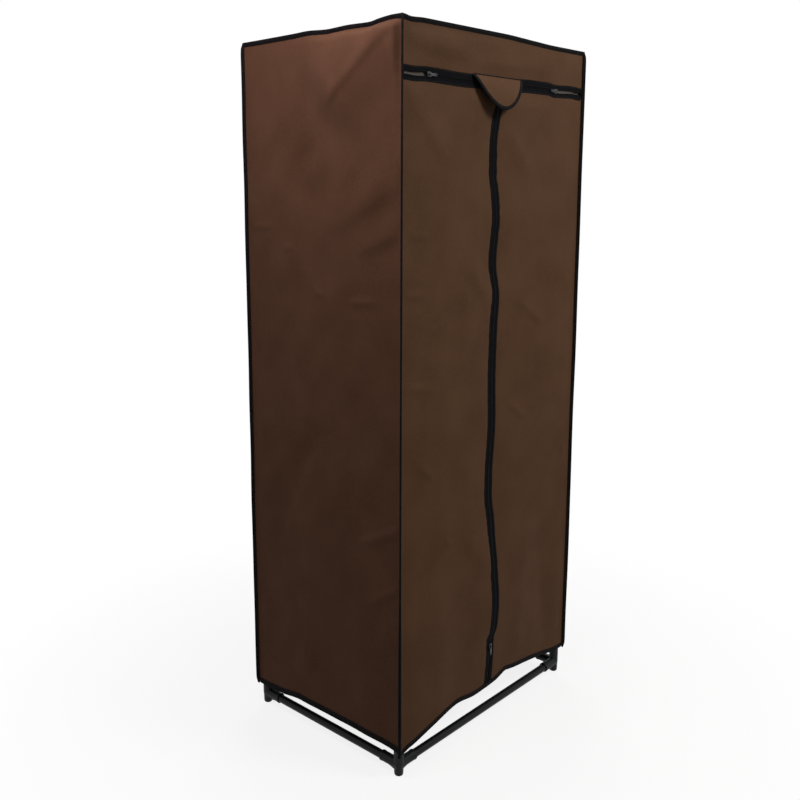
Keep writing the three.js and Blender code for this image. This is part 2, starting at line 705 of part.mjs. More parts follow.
function addFlap() {
  const xs = evenly(-Math.PI / 2, Math.PI / 2, flapSteps).map((a) => flapHalf * flapSideShare * Math.sin(a));
  const clothShare = 1 - (2 * cleanHem) / flapDrop;
  const place = (x, share) => flapPlace(x * clothShare, flapEdgeDrop(x) * clothShare * share);
  const shares = evenly(0, 1, flapRows).map((share) => share * share);
  add('flap_panel', clothSheet(xs, shares, place, clothThickness, axisY), fabricBrown);
  const stations = xs.map((x) => {
    const steepness = Math.abs(x / flapHalf) ** (flapEdgePowerShare - 1);
    const lean = (flapDrop * flapEdgePowerShare * steepness) / flapHalf;
    const length = Math.hypot(lean, 1);
    return (a, b) => {
      const inset = (flapTapeWidth - b) / length;
      const drop = Math.max(0, flapEdgeDrop(x) - inset);
      return flapPlace(x - Math.sign(x) * lean * inset, drop).addScaledVector(flapNormal(drop), a);
    };
  });
  add('flap_binding', sweep(channel(flapTapeInner, flapTapeOuter, flapTapeWidth), stations), tapeBlack);
}

// A slider made upright, closed chain above it, its front towards -Y.
function sliderBody() {
  const [w, t] = [sliderHalfWidth, channelHalf];
  const outline = [
    [-w, -plateOuter], [w, -plateOuter], [w, -slotHalf], [t, -slotHalf], [t, -plateInner],
    [halfPost, -plateInner], [halfPost, plateInner], [t, plateInner], [t, slotHalf], [w, slotHalf],
    [w, plateOuter], [-w, plateOuter], [-w, slotHalf], [-t, slotHalf], [-t, plateInner],
    [-halfPost, plateInner], [-halfPost, -plateInner], [-t, -plateInner], [-t, -slotHalf], [-w, -slotHalf],
  ].map(([x, y]) => new THREE.Vector2(x, y));
  const section = new THREE.Shape(outline);
  const run = new THREE.ExtrudeGeometry(section, { depth: sliderLength, bevelEnabled: false });
  run.translate(0, 0, -sliderLength / 2);
  const half = sliderLength / 2;
  const tail = w - sliderFlare;
  const plan = new THREE.Shape();
  plan.moveTo(-tail, half);
  plan.lineTo(tail, half);
  plan.lineTo(w, -half + w / 2);
  plan.quadraticCurveTo(w, -half, w / 2, -half);
  plan.lineTo(-w / 2, -half);
  plan.quadraticCurveTo(-w, -half, -w, -half + w / 2);
  plan.closePath();
  const depth = 2 * (plateOuter + overrun);
  const mould = new THREE.ExtrudeGeometry(plan, { depth, bevelEnabled: false, curveSegments: roundSteps });
  mould.translate(0, 0, -depth / 2).rotateX(Math.PI / 2);
  return solidOf(run).intersect(solidOf(mould));
}

// The arch on a slider's front plate that holds the pull.
function sliderBridge() {
  const [end, foot, top] = [bridgeLength / 2, bridgeLength / 2 - bridgeBar, bridgeHeight];
  const arch = new THREE.Shape();
  arch.moveTo(-end, -sliderPlate / 2);
  arch.lineTo(-end, top - bridgeBar);
  arch.quadraticCurveTo(-end, top, -foot, top);
  arch.lineTo(foot, top);
  arch.quadraticCurveTo(end, top, end, top - bridgeBar);
  arch.lineTo(end, -sliderPlate / 2);
  arch.lineTo(foot, -sliderPlate / 2);
  arch.lineTo(foot, top - bridgeBar);
  arch.lineTo(-foot, top - bridgeBar);
  arch.lineTo(-foot, -sliderPlate / 2);
  arch.closePath();
  const bridge = new THREE.ExtrudeGeometry(arch, {
    depth: bridgeWidth, bevelEnabled: false, curveSegments: roundSteps,
  });
  bridge.translate(0, 0, -bridgeWidth / 2).rotateY(Math.PI / 2).rotateX(Math.PI);
  return solidOf(bridge.translate(0, -plateOuter, 0));
}

// A pull with its eye bar on the local X axis, lying along +Z or -Z from it.
function sliderPull(towards) {
  const [halfEnd, halfEye] = [pullWidth / 2 + pullFlare / 2, pullWidth / 2];
  const round = pullWidth / 2;
  const plate = new THREE.Shape();
  plate.moveTo(-halfEye, -pullEyeBar);
  plate.lineTo(halfEye, -pullEyeBar);
  plate.lineTo(halfEye, pullEye);
  plate.lineTo(halfEnd, pullLength - round);
  plate.quadraticCurveTo(halfEnd, pullLength, 0, pullLength);
  plate.quadraticCurveTo(-halfEnd, pullLength, -halfEnd, pullLength - round);
  plate.lineTo(-halfEye, pullEye);
  plate.closePath();
  const eye = new THREE.Path();
  const halfHole = bridgeWidth / 2 + clearance;
  eye.moveTo(-halfHole, pullEyeBar);
  eye.lineTo(-halfHole, pullEye);
  eye.lineTo(halfHole, pullEye);
  eye.lineTo(halfHole, pullEyeBar);
  eye.closePath();
  const grip = new THREE.Path().absarc(0, pullLength - 2 * pullHoleRadius, pullHoleRadius, 0, 2 * Math.PI);
  plate.holes.push(eye, grip);
  const made = new THREE.ExtrudeGeometry(plate, {
    depth: pullThickness, bevelEnabled: false, curveSegments: 2 * roundSteps,
  });
  made.translate(0, 0, -pullThickness / 2).rotateX(Math.PI / 2);
  return towards < 0 ? made.rotateY(Math.PI) : made;
}

function addSliders() {
  const places = [
    ['centre', 0, centreSliderHeight, 0, -1],
    ['left', leftSliderPlace, zipHeight, Math.PI / 2, 1],
    ['right', rightSliderPlace, zipHeight, -Math.PI / 2, 1],
  ];
  for (const [name, x, z, turn, towards] of places) {
    const holder = new THREE.Group();
    holder.position.set(x, -halfDepth, z);
    holder.rotation.y = turn;
    body.add(holder);
    const slider = add(`zip_slider_${name}`, geometryOf(sliderBody().add(sliderBridge())), sliderMetal);
    const pull = add(`zip_pull_${name}`, sliderPull(towards), sliderMetal, 0, -pullAxisHeight, 0);
    holder.add(slider, pull);
  }
}

addConnectors();
addPosts();
addRails();
addHangingSockets();
addTopPanel();
addSidePanels();
addBackPanel();
addHeader();
addDoors();
addSeamBindings();
addZipHalves();
addFlap();
addSliders();

export default wardrobe;
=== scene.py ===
"""The looks of a portable fabric wardrobe: its cloth cover, bindings, zips and tube frame.

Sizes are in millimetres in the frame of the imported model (+Z up, the front towards -Y) and are
turned to metres where a mesh is made.
"""

import logging
import math
from abc import ABC, abstractmethod
from dataclasses import dataclass
from enum import Enum, StrEnum
from functools import cache, partial
from itertools import product
from typing import Any, Callable, Iterable, Sequence

import bmesh
import bpy
import numpy as np
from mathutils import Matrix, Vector


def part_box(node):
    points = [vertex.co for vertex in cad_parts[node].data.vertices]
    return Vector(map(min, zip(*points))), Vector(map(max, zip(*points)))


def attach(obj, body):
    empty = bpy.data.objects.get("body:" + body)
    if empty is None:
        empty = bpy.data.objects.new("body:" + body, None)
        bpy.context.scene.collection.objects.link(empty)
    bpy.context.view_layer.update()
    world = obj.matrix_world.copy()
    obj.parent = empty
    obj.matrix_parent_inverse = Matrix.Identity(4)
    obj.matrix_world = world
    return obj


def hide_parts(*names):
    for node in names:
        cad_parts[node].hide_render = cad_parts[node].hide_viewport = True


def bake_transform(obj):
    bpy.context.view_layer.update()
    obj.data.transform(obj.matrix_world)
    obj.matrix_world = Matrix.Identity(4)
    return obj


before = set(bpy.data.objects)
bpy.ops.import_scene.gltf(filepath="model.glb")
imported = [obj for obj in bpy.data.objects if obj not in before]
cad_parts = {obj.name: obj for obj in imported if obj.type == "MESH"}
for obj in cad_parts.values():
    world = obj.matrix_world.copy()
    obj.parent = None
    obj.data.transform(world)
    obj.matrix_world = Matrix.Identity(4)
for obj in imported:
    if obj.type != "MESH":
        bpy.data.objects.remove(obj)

Array = np.ndarray
Table = tuple[tuple[float, ...], ...]
Object = bpy.types.Object
Node = bpy.types.Node
AddNode = Callable[..., Node]
MM = 0.001
# How thick the cloth of the cover is drawn, and the facing strips behind the zips.
CLOTH_THICK, FACING_THICK = 0.8, 0.5
DIAGONAL = math.sqrt(0.5)
UP = np.array([0, 0, 1.0])
log = logging.getLogger("wardrobe")


class Body(StrEnum):
    """The bodies that pieces ride on."""

    FRAME = "frame_and_cover"
    DOOR_LEFT = "door_left"
    DOOR_RIGHT = "door_right"
    FLAP = "flap"


class Slot(StrEnum):
    """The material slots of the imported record."""

    CLOTH = "cover_fabric"
    TAPE = "binding_tape"
    ZIP = "zip_tape"
    METAL = "slider_metal"
    PLASTIC = "connector_plastic"
    STEEL = "powder_coated_steel"


class Side(Enum):
    """The left or right half of the wardrobe, as the sign of X."""

    LEFT = -1
    RIGHT = 1

    @property
    def word(self) -> str:
        """The side's name as it stands in the names of nodes."""
        return self.name.lower()

    @property
    def door(self) -> Body:
        """The door on this side."""
        return Body[f"DOOR_{self.name}"]


class Wall(StrEnum):
    """An upright wall of the cover."""

    LEFT = "left"
    RIGHT = "right"
    FRONT = "front"
    BACK = "back"

    @property
    def sideways(self) -> bool:
        """Whether the wall faces along X."""
        return self in (Wall.LEFT, Wall.RIGHT)

    @property
    def sign(self) -> int:
        """Which way along its axis the wall faces."""
        return -1 if self in (Wall.LEFT, Wall.FRONT) else 1


# Shapes in numbers


def through(stations: Iterable[tuple[float, float]], at: Array | float) -> Array:
    """A smooth line through measured stations, level beyond its ends, that never swings past them.

    Args:
        stations: pairs of place and value, in rising order of place.
        at: the places to read.

    Returns:
        The value at each place.
    """
    places, values = np.array(stations, float).T
    rates = np.diff(values) / np.diff(places)
    agree = rates[:-1] * rates[1:]
    slopes = np.zeros(len(places))
    slopes[1:-1] = 2 * np.maximum(agree, 0) / np.where(agree > 0, rates[:-1] + rates[1:], 1)
    x = np.clip(at, places[0], places[-1])
    k = np.clip(np.searchsorted(places, x) - 1, 0, len(places) - 2)
    step = places[k + 1] - places[k]
    t = (x - places[k]) / step
    level = values[k] * (1 + 2 * t) * (1 - t) ** 2 + values[k + 1] * t * t * (3 - 2 * t)
    return level + step * t * (1 - t) * (slopes[k] * (1 - t) - slopes[k + 1] * t)


def smooth(low: float, high: float, at: Array | float) -> Array:
    """0 below low, 1 above high, and a smooth rise between them."""
    t = np.clip((np.asarray(at, float) - low) / (high - low), 0, 1)
    return t * t * (3 - 2 * t)


def ripple(a: Array, b: Array, length: float, seed: int, waves: int = 5) -> Array:
    """Gentle waves in every direction, between about -1 and 1.

    Args:
        a: place across the cloth.
        b: place up the cloth.
        length: the usual length of a wave.
        seed: picks the waves.
        waves: how many waves are added.

    Returns:
        The height at each place.
    """
    rng = np.random.default_rng(seed)
    total = np.zeros(np.broadcast(a, b).shape)
    for _ in range(waves):
        turn, phase, share = rng.uniform(0, math.pi), rng.uniform(0, 7), rng.uniform(0.7, 1.5)
        along = a * math.cos(turn) + b * math.sin(turn)
        total += np.sin(2 * math.pi * along / (length * share) + phase)
    return total / math.sqrt(waves) / 1.4


def evened(*parts: tuple[float, float, float]) -> Array:
    """Places along a line: for each part its start, end and usual spacing, with no place twice."""
    runs = [np.linspace(a, b, max(2, round(abs(b - a) / step) + 1)) for a, b, step in parts]
    return np.unique(np.round(np.concatenate(runs), 3))


@dataclass(frozen=True)
class Crease:
    """A fold line in the cloth: a ridge with one gentle and one steep side.

    The gentle side lies to the left of the way from start to end.
    """

    start: tuple[float, float]
    end: tuple[float, float]
    rise: float
    gentle: float = 40
    steep: float = 16
    taper: float = 0.25

    def height(self, a: Array, b: Array) -> Array:
        """How far the crease lifts the cloth.

        Args:
            a: places across the wall.
            b: places up the wall.

        Returns:
            The lift at each place.
        """
        x, y = a - self.start[0], b - self.start[1]
        way = np.subtract(self.end, self.start)
        length = float(np.hypot(*way))
        way = way / length
        along = (x * way[0] + y * way[1]) / length
        off = y * way[0] - x * way[1]
        width = np.where(off > 0, self.gentle, self.steep)
        ends = smooth(-self.taper, self.taper, along) * smooth(-self.taper, self.taper, 1 - along)
        return self.rise * ends * np.exp(-((off / width) ** 2))


# Meshes


def link(name: str, mesh: bpy.types.Mesh) -> Object:
    """Sets a mesh in the scene as a piece at the origin.

    Args:
        name: the piece's name.
        mesh: its mesh.

    Returns:
        The piece.
    """
    piece = bpy.data.objects.new(name, mesh)
    bpy.context.scene.collection.objects.link(piece)
    return piece


def applied(holder: Object, name: str) -> bpy.types.Mesh:
    """Applies an object's modifiers and removes the object.

    Args:
        holder: the object that carries the modifiers.
        name: a name for the mesh.

    Returns:
        The plain mesh.
    """
    view = bpy.context.evaluated_depsgraph_get()
    mesh = bpy.data.meshes.new_from_object(holder.evaluated_get(view), depsgraph=view)
    mesh.name = name
    bpy.data.objects.remove(holder)
    return mesh


def settle(mesh: bpy.types.Mesh, sharp: float = 40) -> None:
    """Turns a closed mesh's faces outwards and shades it smooth.

    Args:
        mesh: the mesh.
        sharp: the angle in degrees from which an edge stays sharp.
    """
    work = bmesh.new()
    work.from_mesh(mesh)
    bmesh.ops.recalc_face_normals(work, faces=work.faces)
    work.to_mesh(mesh)
    work.free()
    mesh.shade_smooth()
    mesh.set_sharp_from_angle(angle=math.radians(sharp))


def solid(name: str, points: Array, faces: Array, uv: Array, caps: Sequence[range] = ()) -> Object:
    """A closed piece from points in millimetres.

    Args:
        name: the piece's name.
        points: one row of x, y, z for each point.
        faces: one row of four point numbers for each face.
        uv: a place on the flat cloth for each point.
        caps: faces with more corners.

    Returns:
        The piece, at the origin.
    """
    mesh = bpy.data.meshes.new(name)
    mesh.from_pydata((points * MM).tolist(), [], faces.tolist() + [list(cap) for cap in caps])
    settle(mesh)
    corners = np.zeros(len(mesh.loops), np.int32)
    mesh.loops.foreach_get("vertex_index", corners)
    places = (uv * MM)[corners].astype(np.float32)
    mesh.uv_layers.new(name="UVMap").data.foreach_set("uv", places.ravel())
    return link(name, mesh)


def grid_faces(index: Array) -> Array:
    """The four-cornered faces between the rows and columns of a grid of point numbers."""
    corners = [index[:-1, :-1], index[:-1, 1:], index[1:, 1:], index[1:, :-1]]
    return np.stack(corners, axis=-1).reshape(-1, 4)


def cloth(name: str, middle: Array, outward: Array, flat: Array,
          thickness: float = CLOTH_THICK) -> Object:
    """A sheet of cloth with both its faces and its cut edge.

    Args:
        name: the piece's name.
        middle: points of the middle of the cloth, rows by columns by 3.
        outward: the way the cloth faces, one vector for all points or one for each.
        flat: the place of each point on the flat cloth.
        thickness: how thick the cloth is.

    Returns:
        The piece.
    """
    half = np.broadcast_to(outward, middle.shape) * thickness / 2
    points = np.concatenate([(middle + half).reshape(-1, 3), (middle - half).reshape(-1, 3)])
    count = middle[..., 0].size
    index = np.arange(count).reshape(middle.shape[:2])
    front = grid_faces(index)
    rim = np.concatenate([index[0], index[1:, -1], index[-1, -2::-1], index[-2:0:-1, 0]])
    after = np.roll(rim, -1)
    edge = np.stack([rim, rim + count, after + count, after], axis=-1)
    faces = np.concatenate([front, front[:, ::-1] + count, edge])
    return solid(name, points, faces, np.tile(flat.reshape(-1, 2), (2, 1)))


def loft(name: str, sections: Array, run: Array, ring: bool = False) -> Object:
    """A closed piece carried through sections.

    Args:
        name: the piece's name.
        sections: stations by outline points by 3.
        run: how far along the piece each station lies.
        ring: whether the last station joins the first.

    Returns:
        The piece, with its length along V.
    """
    stations, outline = sections.shape[:2]
    count = stations * outline
    index = np.arange(count).reshape(stations, outline)
    if ring:
        index = np.vstack([index, index[:1]])
    index = np.hstack([index, index[:, :1]])
    caps = () if ring else (range(outline), range(count - outline, count))
    around = np.linspace(0, 20, outline)
    uv = np.stack(np.broadcast_arrays(around, run[:stations, None]), axis=-1).reshape(-1, 2)
    return solid(name, sections.reshape(-1, 3), grid_faces(index), uv, caps)


# Finishes


def linear(hex_colour: str) -> tuple[float, float, float, float]:
    """Turns an sRGB hex colour into the linear values that shaders take.

    Args:
        hex_colour: the colour, such as #5e4230.

    Returns:
        Red, green, blue and alpha.
    """
    parts = [int(hex_colour.lstrip("#")[i : i + 2], 16) / 255 for i in (0, 2, 4)]
    r, g, b = (p / 12.92 if p <= 0.04045 else ((p + 0.055) / 1.055) ** 2.4 for p in parts)
    return r, g, b, 1.0


def add_node(tree: bpy.types.NodeTree, kind: str, inputs: dict[Any, Any] | None = None,
             **settings: Any) -> Node:
    """Adds one node.

    Args:
        tree: the tree it goes into.
        kind: the node's type.
        inputs: for each input, by name or number, a value, another node's output, or another
            node where its first output in use is meant.
        settings: properties of the node itself.

    Returns:
        The node.
    """
    node = tree.nodes.new(kind)
    for name, value in settings.items():
        setattr(node, name, value)
    for key, value in (inputs or {}).items():
        if isinstance(value, Node):
            value = next(socket for socket in value.outputs if socket.enabled)
        if isinstance(value, bpy.types.NodeSocket):
            tree.links.new(value, node.inputs[key])
        else:
            node.inputs[key].default_value = value
    return node


def spotted(node: AddNode, size: float, detail: float, low: float, high: float) -> Node:
    """Cloudy spots between 0 and 1, of a size in millimetres.

    Args:
        node: adds a node to the material's tree.
        size: how wide a spot is.
        detail: how many finer spots break up its edge.
        low: the noise that counts as 0.
        high: the noise that counts as 1.

    Returns:
        The node that gives the spots.
    """
    spot = node("ShaderNodeTexCoord").outputs["Object"]
    cloud = node("ShaderNodeTexNoise", {"Vector": spot, "Scale": 1 / (size * MM), "Detail": detail})
    return node("ShaderNodeMapRange", {"Value": cloud, "From Min": low, "From Max": high})


def seen_directly(node: AddNode) -> Node:
    """Tells what is looked at from light on its way.

    Args:
        node: adds a node to the tree.

    Returns:
        A node with 1 for what the camera, a reflection or glass sees, and 0 for the rest.
    """
    path = node("ShaderNodeLightPath").outputs
    seen = node("ShaderNodeMath", {0: path["Is Camera Ray"], 1: path["Is Glossy Ray"]},
                operation="ADD")
    return node("ShaderNodeMath", {0: seen, 1: path["Is Transmission Ray"]}, operation="ADD",
                use_clamp=True)


@dataclass(frozen=True)
class Finish(ABC):
    """A surface, as it is made and coloured, and the record's slot for it."""

    name: str
    slot: Slot | None = None

    @cache
    def material(self) -> bpy.types.Material:
        """Makes the material of this finish once.

        Returns:
            The material.
        """
        made = bpy.data.materials.new(self.name)
        made.use_nodes = True
        made.node_tree.nodes.clear()
        node = partial(add_node, made.node_tree)
        node("ShaderNodeOutputMaterial", {"Surface": self.shader(node)})
        return made

    @abstractmethod
    def shader(self, node: AddNode) -> Node:
        """Builds the finish with the function that adds its nodes, and gives its last shader."""


@dataclass(frozen=True)
class SpunbondCloth(Finish):
    """Spun-bonded polypropylene cloth.

    Its fibres are laid at random and pressed together at small points, which gives a matt
    cloth with faint clouds, a fine pattern of dots and a soft light along its folds.
    """

    colour: str = "#5e4230"
    shade: str = "#523826"
    dust: str = "#694b37"
    # The pressed points of the real cloth lie 1 mm apart; they are drawn 2.2 mm apart to show.
    dot_pitch: float = 2.2
    # The clouds of thick and thin cloth, the flecks of dust on it, and its fibres.
    cloud: float = 111.1
    fleck: float = 4.167
    fibre: float = 0.9

    def shader(self, node: AddNode) -> Node:
        """Builds the cloth's clouds, dots and fibres.

        Args:
            node: adds a node to the material's tree.

        Returns:
            The shader of the cloth.
        """
        spot = node("ShaderNodeTexCoord").outputs["Object"]
        cloud = spotted(node, self.cloud, 4, 0.3, 0.72)
        fleck = spotted(node, self.fleck, 2, 0.35, 0.75)
        base = node("ShaderNodeMix", {0: cloud, 6: linear(self.shade), 7: linear(self.colour)},
                    data_type="RGBA")
        fine = node("ShaderNodeMath", {0: fleck, 1: 0.3}, operation="MULTIPLY")
        colour = node("ShaderNodeMix", {0: fine, 6: base, 7: linear(self.dust)}, data_type="RGBA")
        turned = node("ShaderNodeMapping", {
            "Vector": node("ShaderNodeUVMap", uv_map="UVMap"), "Rotation": (0, 0, math.radians(45)),
            "Scale": (1 / (self.dot_pitch * MM),) * 3})
        dots = node("ShaderNodeTexVoronoi", {"Vector": turned, "Scale": 1.0, "Randomness": 0.0},
                    voronoi_dimensions="2D")
        pressed = node("ShaderNodeMapRange", {
            "Value": dots.outputs["Distance"], "From Min": 0.16, "From Max": 0.4})
        hair = node("ShaderNodeTexNoise", {
            "Vector": spot, "Scale": 1 / (self.fibre * MM), "Detail": 3.0})
        relief = node("ShaderNodeMath", {0: hair, 1: 0.6}, operation="MULTIPLY")
        height = node("ShaderNodeMath", {0: pressed, 1: relief}, operation="ADD")
        bump = node("ShaderNodeBump", {"Height": height, "Strength": 0.35, "Distance": 0.0003})
        rough = node("ShaderNodeMapRange", {"Value": pressed, "To Min": 0.62, "To Max": 0.82})
        return node("ShaderNodeBsdfPrincipled", {
            "Base Color": colour, "Roughness": rough, "Normal": bump, "IOR": 1.49,
            "Specular IOR Level": 0.1, "Sheen Weight": 0.07, "Sheen Roughness": 0.5,
            "Sheen Tint": linear("#b58f7c")})


@dataclass(frozen=True)
class FoldedTape(Finish):
    """Black non-woven tape, folded over a seam and sewn through.

    Rolling it round the seam leaves a soft crease along its fold, a little fuzz, and fine ribs
    across it, 0.9 mm apart, so it is matt with a faint grey edge.
    """

    colour: str = "#100f10"
    worn: str = "#1e1c1d"
    # From rib to rib, and how wide a patch of fuzz is.
    rib: float = 0.9
    fuzz: float = 6.25

    def shader(self, node: AddNode) -> Node:
        """Builds the tape's ribs, fuzz and rubbed fold.

        Args:
            node: adds a node to the material's tree.

        Returns:
            The shader of the tape.
        """
        fuzz = spotted(node, self.fuzz, 3, 0.35, 0.75)
        edge = node("ShaderNodeNewGeometry").outputs["Pointiness"]
        rubbed = node("ShaderNodeMapRange", {
            "Value": edge, "From Min": 0.52, "From Max": 0.62, "To Max": 0.7})
        share = node("ShaderNodeMath", {0: fuzz, 1: rubbed}, operation="MAXIMUM")
        colour = node("ShaderNodeMix", {0: share, 6: linear(self.colour), 7: linear(self.worn)},
                      data_type="RGBA")
        ribs = node("ShaderNodeTexWave", {
            "Vector": node("ShaderNodeUVMap", uv_map="UVMap"), "Scale": 1 / (self.rib * MM) / 20,
            "Distortion": 0.6, "Detail": 1.0}, bands_direction="Y")
        bump = node("ShaderNodeBump", {
            "Height": ribs.outputs[1], "Strength": 0.3, "Distance": 0.0002})
        return node("ShaderNodeBsdfPrincipled", {
            "Base Color": colour, "Roughness": 0.86, "Normal": bump, "IOR": 1.49,
            "Specular IOR Level": 0.06, "Sheen Weight": 0.03, "Sheen Roughness": 0.5,
            "Sheen Tint": linear("#8c8a8d")})


@dataclass(frozen=True)
class WovenZipTape(Finish):
    """Black polyester zip tape.

    It is woven in a herringbone whose ribs lie 1 mm apart, so it has a slight gloss that breaks
    up along the ribs.
    """

    colour: str = "#0b0b0d"
    high: str = "#131316"
    rib: float = 1.0
    # How far the ribs turn to either side, in degrees.
    turn: float = 35

    def shader(self, node: AddNode) -> Node:
        """Builds the tape's crossing ribs.

        Args:
            node: adds a node to the material's tree.

        Returns:
            The shader of the zip tape.
        """
        flat = node("ShaderNodeUVMap", uv_map="UVMap")
        turns = [node("ShaderNodeMapping", {"Vector": flat, "Rotation": (0, 0, math.radians(turn))})
                 for turn in (self.turn, -self.turn)]
        ways = [node("ShaderNodeTexWave", {"Vector": turned, "Scale": 1 / (self.rib * MM) / 20},
                     bands_direction="X").outputs[1] for turned in turns]
        weave = node("ShaderNodeMath", {0: ways[0], 1: ways[1]}, operation="MAXIMUM")
        colour = node("ShaderNodeMix", {0: weave, 6: linear(self.colour), 7: linear(self.high)},
                      data_type="RGBA")
        bump = node("ShaderNodeBump", {"Height": weave, "Strength": 0.4, "Distance": 0.0002})
        return node("ShaderNodeBsdfPrincipled", {
            "Base Color": colour, "Roughness": 0.76, "Normal": bump, "IOR": 1.57,
            "Specular IOR Level": 0.02})


@dataclass(frozen=True)
class Moulded(Finish):
    """A part that takes its skin from a mould or a drawn thread.

    The skin is smooth but for a fine grain, which spreads its shine.
    """

    colour: str = "#131415"
    light: str = "#1c1d1f"
    roughness: tuple[float, float] = (0.44, 0.58)
    # The grain's width in millimetres, and its depth in metres.
    grain: float = 0.5
    depth: float = 0.00008
    gloss: float = 0.16
    # How strongly the grain shows, how finely it is broken up, and how much clear skin is on it.
    strength: float = 0.5
    detail: float = 2.0
    coat: float = 0.0
    # The spots where its tone changes: their size and detail, and the noise at either end.
    spots: tuple[float, ...] = (28.57, 3, 0.35, 0.7)

    def shader(self, node: AddNode) -> Node:
        """Builds the skin's grain and its faint change of tone.

        Args:
            node: adds a node to the material's tree.

        Returns:
            The shader of the skin.
        """
        spot = node("ShaderNodeTexCoord").outputs["Object"]
        tone = spotted(node, *self.spots)
        colour = node("ShaderNodeMix", {0: tone, 6: linear(self.colour), 7: linear(self.light)},
                      data_type="RGBA")
        skin = node("ShaderNodeTexNoise", {
            "Vector": spot, "Scale": 1 / (self.grain * MM), "Detail": self.detail})
        bump = node("ShaderNodeBump", {
            "Height": skin, "Strength": self.strength, "Distance": self.depth})
        low, high = self.roughness
        rough = node("ShaderNodeMapRange", {"Value": tone, "To Min": low, "To Max": high})
        return node("ShaderNodeBsdfPrincipled", {
            "Base Color": colour, "Roughness": rough, "Normal": bump, "IOR": 1.5,
            "Specular IOR Level": self.gloss, "Coat Weight": self.coat, "Coat Roughness": 0.25})


@dataclass(frozen=True)
class PowderCoat(Moulded):
    """Black powder coat baked on steel tube.

    The powder melts into a satin skin with an orange peel about 1.5 mm across, rubbed a little
    duller where hands and sockets touch it.
    """

    colour: str = "#0d0e0f"
    light: str = "#1a1b1d"
    roughness: tuple[float, float] = (0.42, 0.6)
    grain: float = 1.5
    depth: float = 0.0001
    gloss: float = 0.14
    strength: float = 0.4
    detail: float = 1.0
    coat: float = 0.02
    spots: tuple[float, ...] = (45.45, 5, 0.56, 0.78)


@dataclass(frozen=True)
class LacqueredZinc(Finish):
    """Black lacquer on die-cast zinc.

    The thin lacquer wears through first on edges, where grey metal shows.
    """

    lacquer: str = "#1b1b1d"
    scuffed: str = "#29292b"
    metal: str = "#77787a"
    # How wide a scuff is.
    scratch: float = 1.111

    def shader(self, node: AddNode) -> Node:
        """Builds the lacquer and the metal that shows through it.

        Args:
            node: adds a node to the material's tree.

        Returns:
            The shader of the lacquered metal.
        """
        edge = node("ShaderNodeNewGeometry").outputs["Pointiness"]
        corner = node("ShaderNodeMapRange", {"Value": edge, "From Min": 0.55, "From Max": 0.7})
        scratch = spotted(node, self.scratch, 4, 0.4, 0.7)
        worn = node("ShaderNodeMath", {0: corner, 1: scratch}, operation="MULTIPLY")
        colour = node("ShaderNodeMix", {
            0: scratch, 6: linear(self.lacquer), 7: linear(self.scuffed)}, data_type="RGBA")
        lacquer = node("ShaderNodeBsdfPrincipled", {
            "Base Color": colour, "Roughness": 0.38, "Metallic": 0.35})
        bare = node("ShaderNodeBsdfPrincipled", {
            "Base Color": linear(self.metal), "Roughness": 0.33, "Metallic": 1.0})
        return node("ShaderNodeMixShader", {0: worn, 1: lacquer, 2: bare})


@dataclass(frozen=True)
class StudioPaper(Finish):
    """Plain white studio paper that keeps a shadow near the object and fades into white."""

    colour: str = "#f4f4f4"
    # The paper throws less light back on the object than it shows, so its lower walls stay dark.
    bounce: str = "#8c8c8c"
    lift: float = 0.85
    fade_from: float = 0.45
    fade_to: float = 1.2

    def shader(self, node: AddNode) -> Node:
        """Builds the paper and its fade.

        Args:
            node: adds a node to the material's tree.

        Returns:
            The shader of the paper.
        """
        far = node("ShaderNodeVectorMath", {0: node("ShaderNodeTexCoord").outputs["Object"]},
                   operation="LENGTH").outputs["Value"]
        fade = node("ShaderNodeMapRange", {
            "Value": far, "From Min": self.fade_from, "From Max": self.fade_to,
            "To Min": self.lift})
        seen = seen_directly(node)
        share = node("ShaderNodeMath", {0: seen, 1: fade}, operation="MULTIPLY", use_clamp=True)
        tone = node("ShaderNodeMix", {0: seen, 6: linear(self.bounce), 7: linear(self.colour)},
                    data_type="RGBA")
        paper = node("ShaderNodeBsdfDiffuse", {"Color": tone})
        white = node("ShaderNodeEmission", {"Color": (1, 1, 1, 1), "Strength": 1.0})
        return node("ShaderNodeMixShader", {0: share, 1: paper, 2: white})


# Spun-bonded and pressed: matt, with faint clouds, fine dots and a soft light along its folds.
CLOTH = SpunbondCloth("spunbond_cloth_brown", Slot.CLOTH)
# A lighter grey-brown version of the same cloth, for the strips behind the open zips: pressed dots
# and clouds as on the cover.
FACING = SpunbondCloth("spunbond_facing_grey_brown", Slot.CLOTH, "#645c58", "#58514d", "#6e6662")
# Folded and sewn: matt and nearly black, greyer along the rubbed fold.
TAPE = FoldedTape("folded_binding_tape_black", Slot.TAPE)
# Woven in a herringbone: a slight gloss that its ribs break up.
ZIP_TAPE = WovenZipTape("woven_zip_tape_black", Slot.ZIP)
# Nylon drawn to a thread and set in loops: smooth and close-grained, with little gloss.
COIL = Moulded("drawn_nylon_coil_black", Slot.ZIP, "#0b0b0d", "#121215",
               roughness=(0.49, 0.63), grain=0.6, depth=0.00004, gloss=0.06)
# Spun polyester: its twisted fibres scatter light, so it is a little paler than the tape.
THREAD = Moulded("spun_polyester_thread_black", Slot.TAPE, "#1b1a1b", "#282627",
                 roughness=(0.54, 0.68), grain=0.25, depth=0.00005)
# Injection-moulded: an even satin skin with a fine grain.
PLASTIC = Moulded("moulded_polypropylene_black", Slot.PLASTIC)
# Powder baked on steel: satin, with an orange peel and duller rubbed spots.
STEEL = PowderCoat("powder_coated_steel_black", Slot.STEEL)
# Die-cast and lacquered: a soft shine, with grey metal on worn edges.
METAL = LacqueredZinc("lacquered_zinc_black", Slot.METAL)


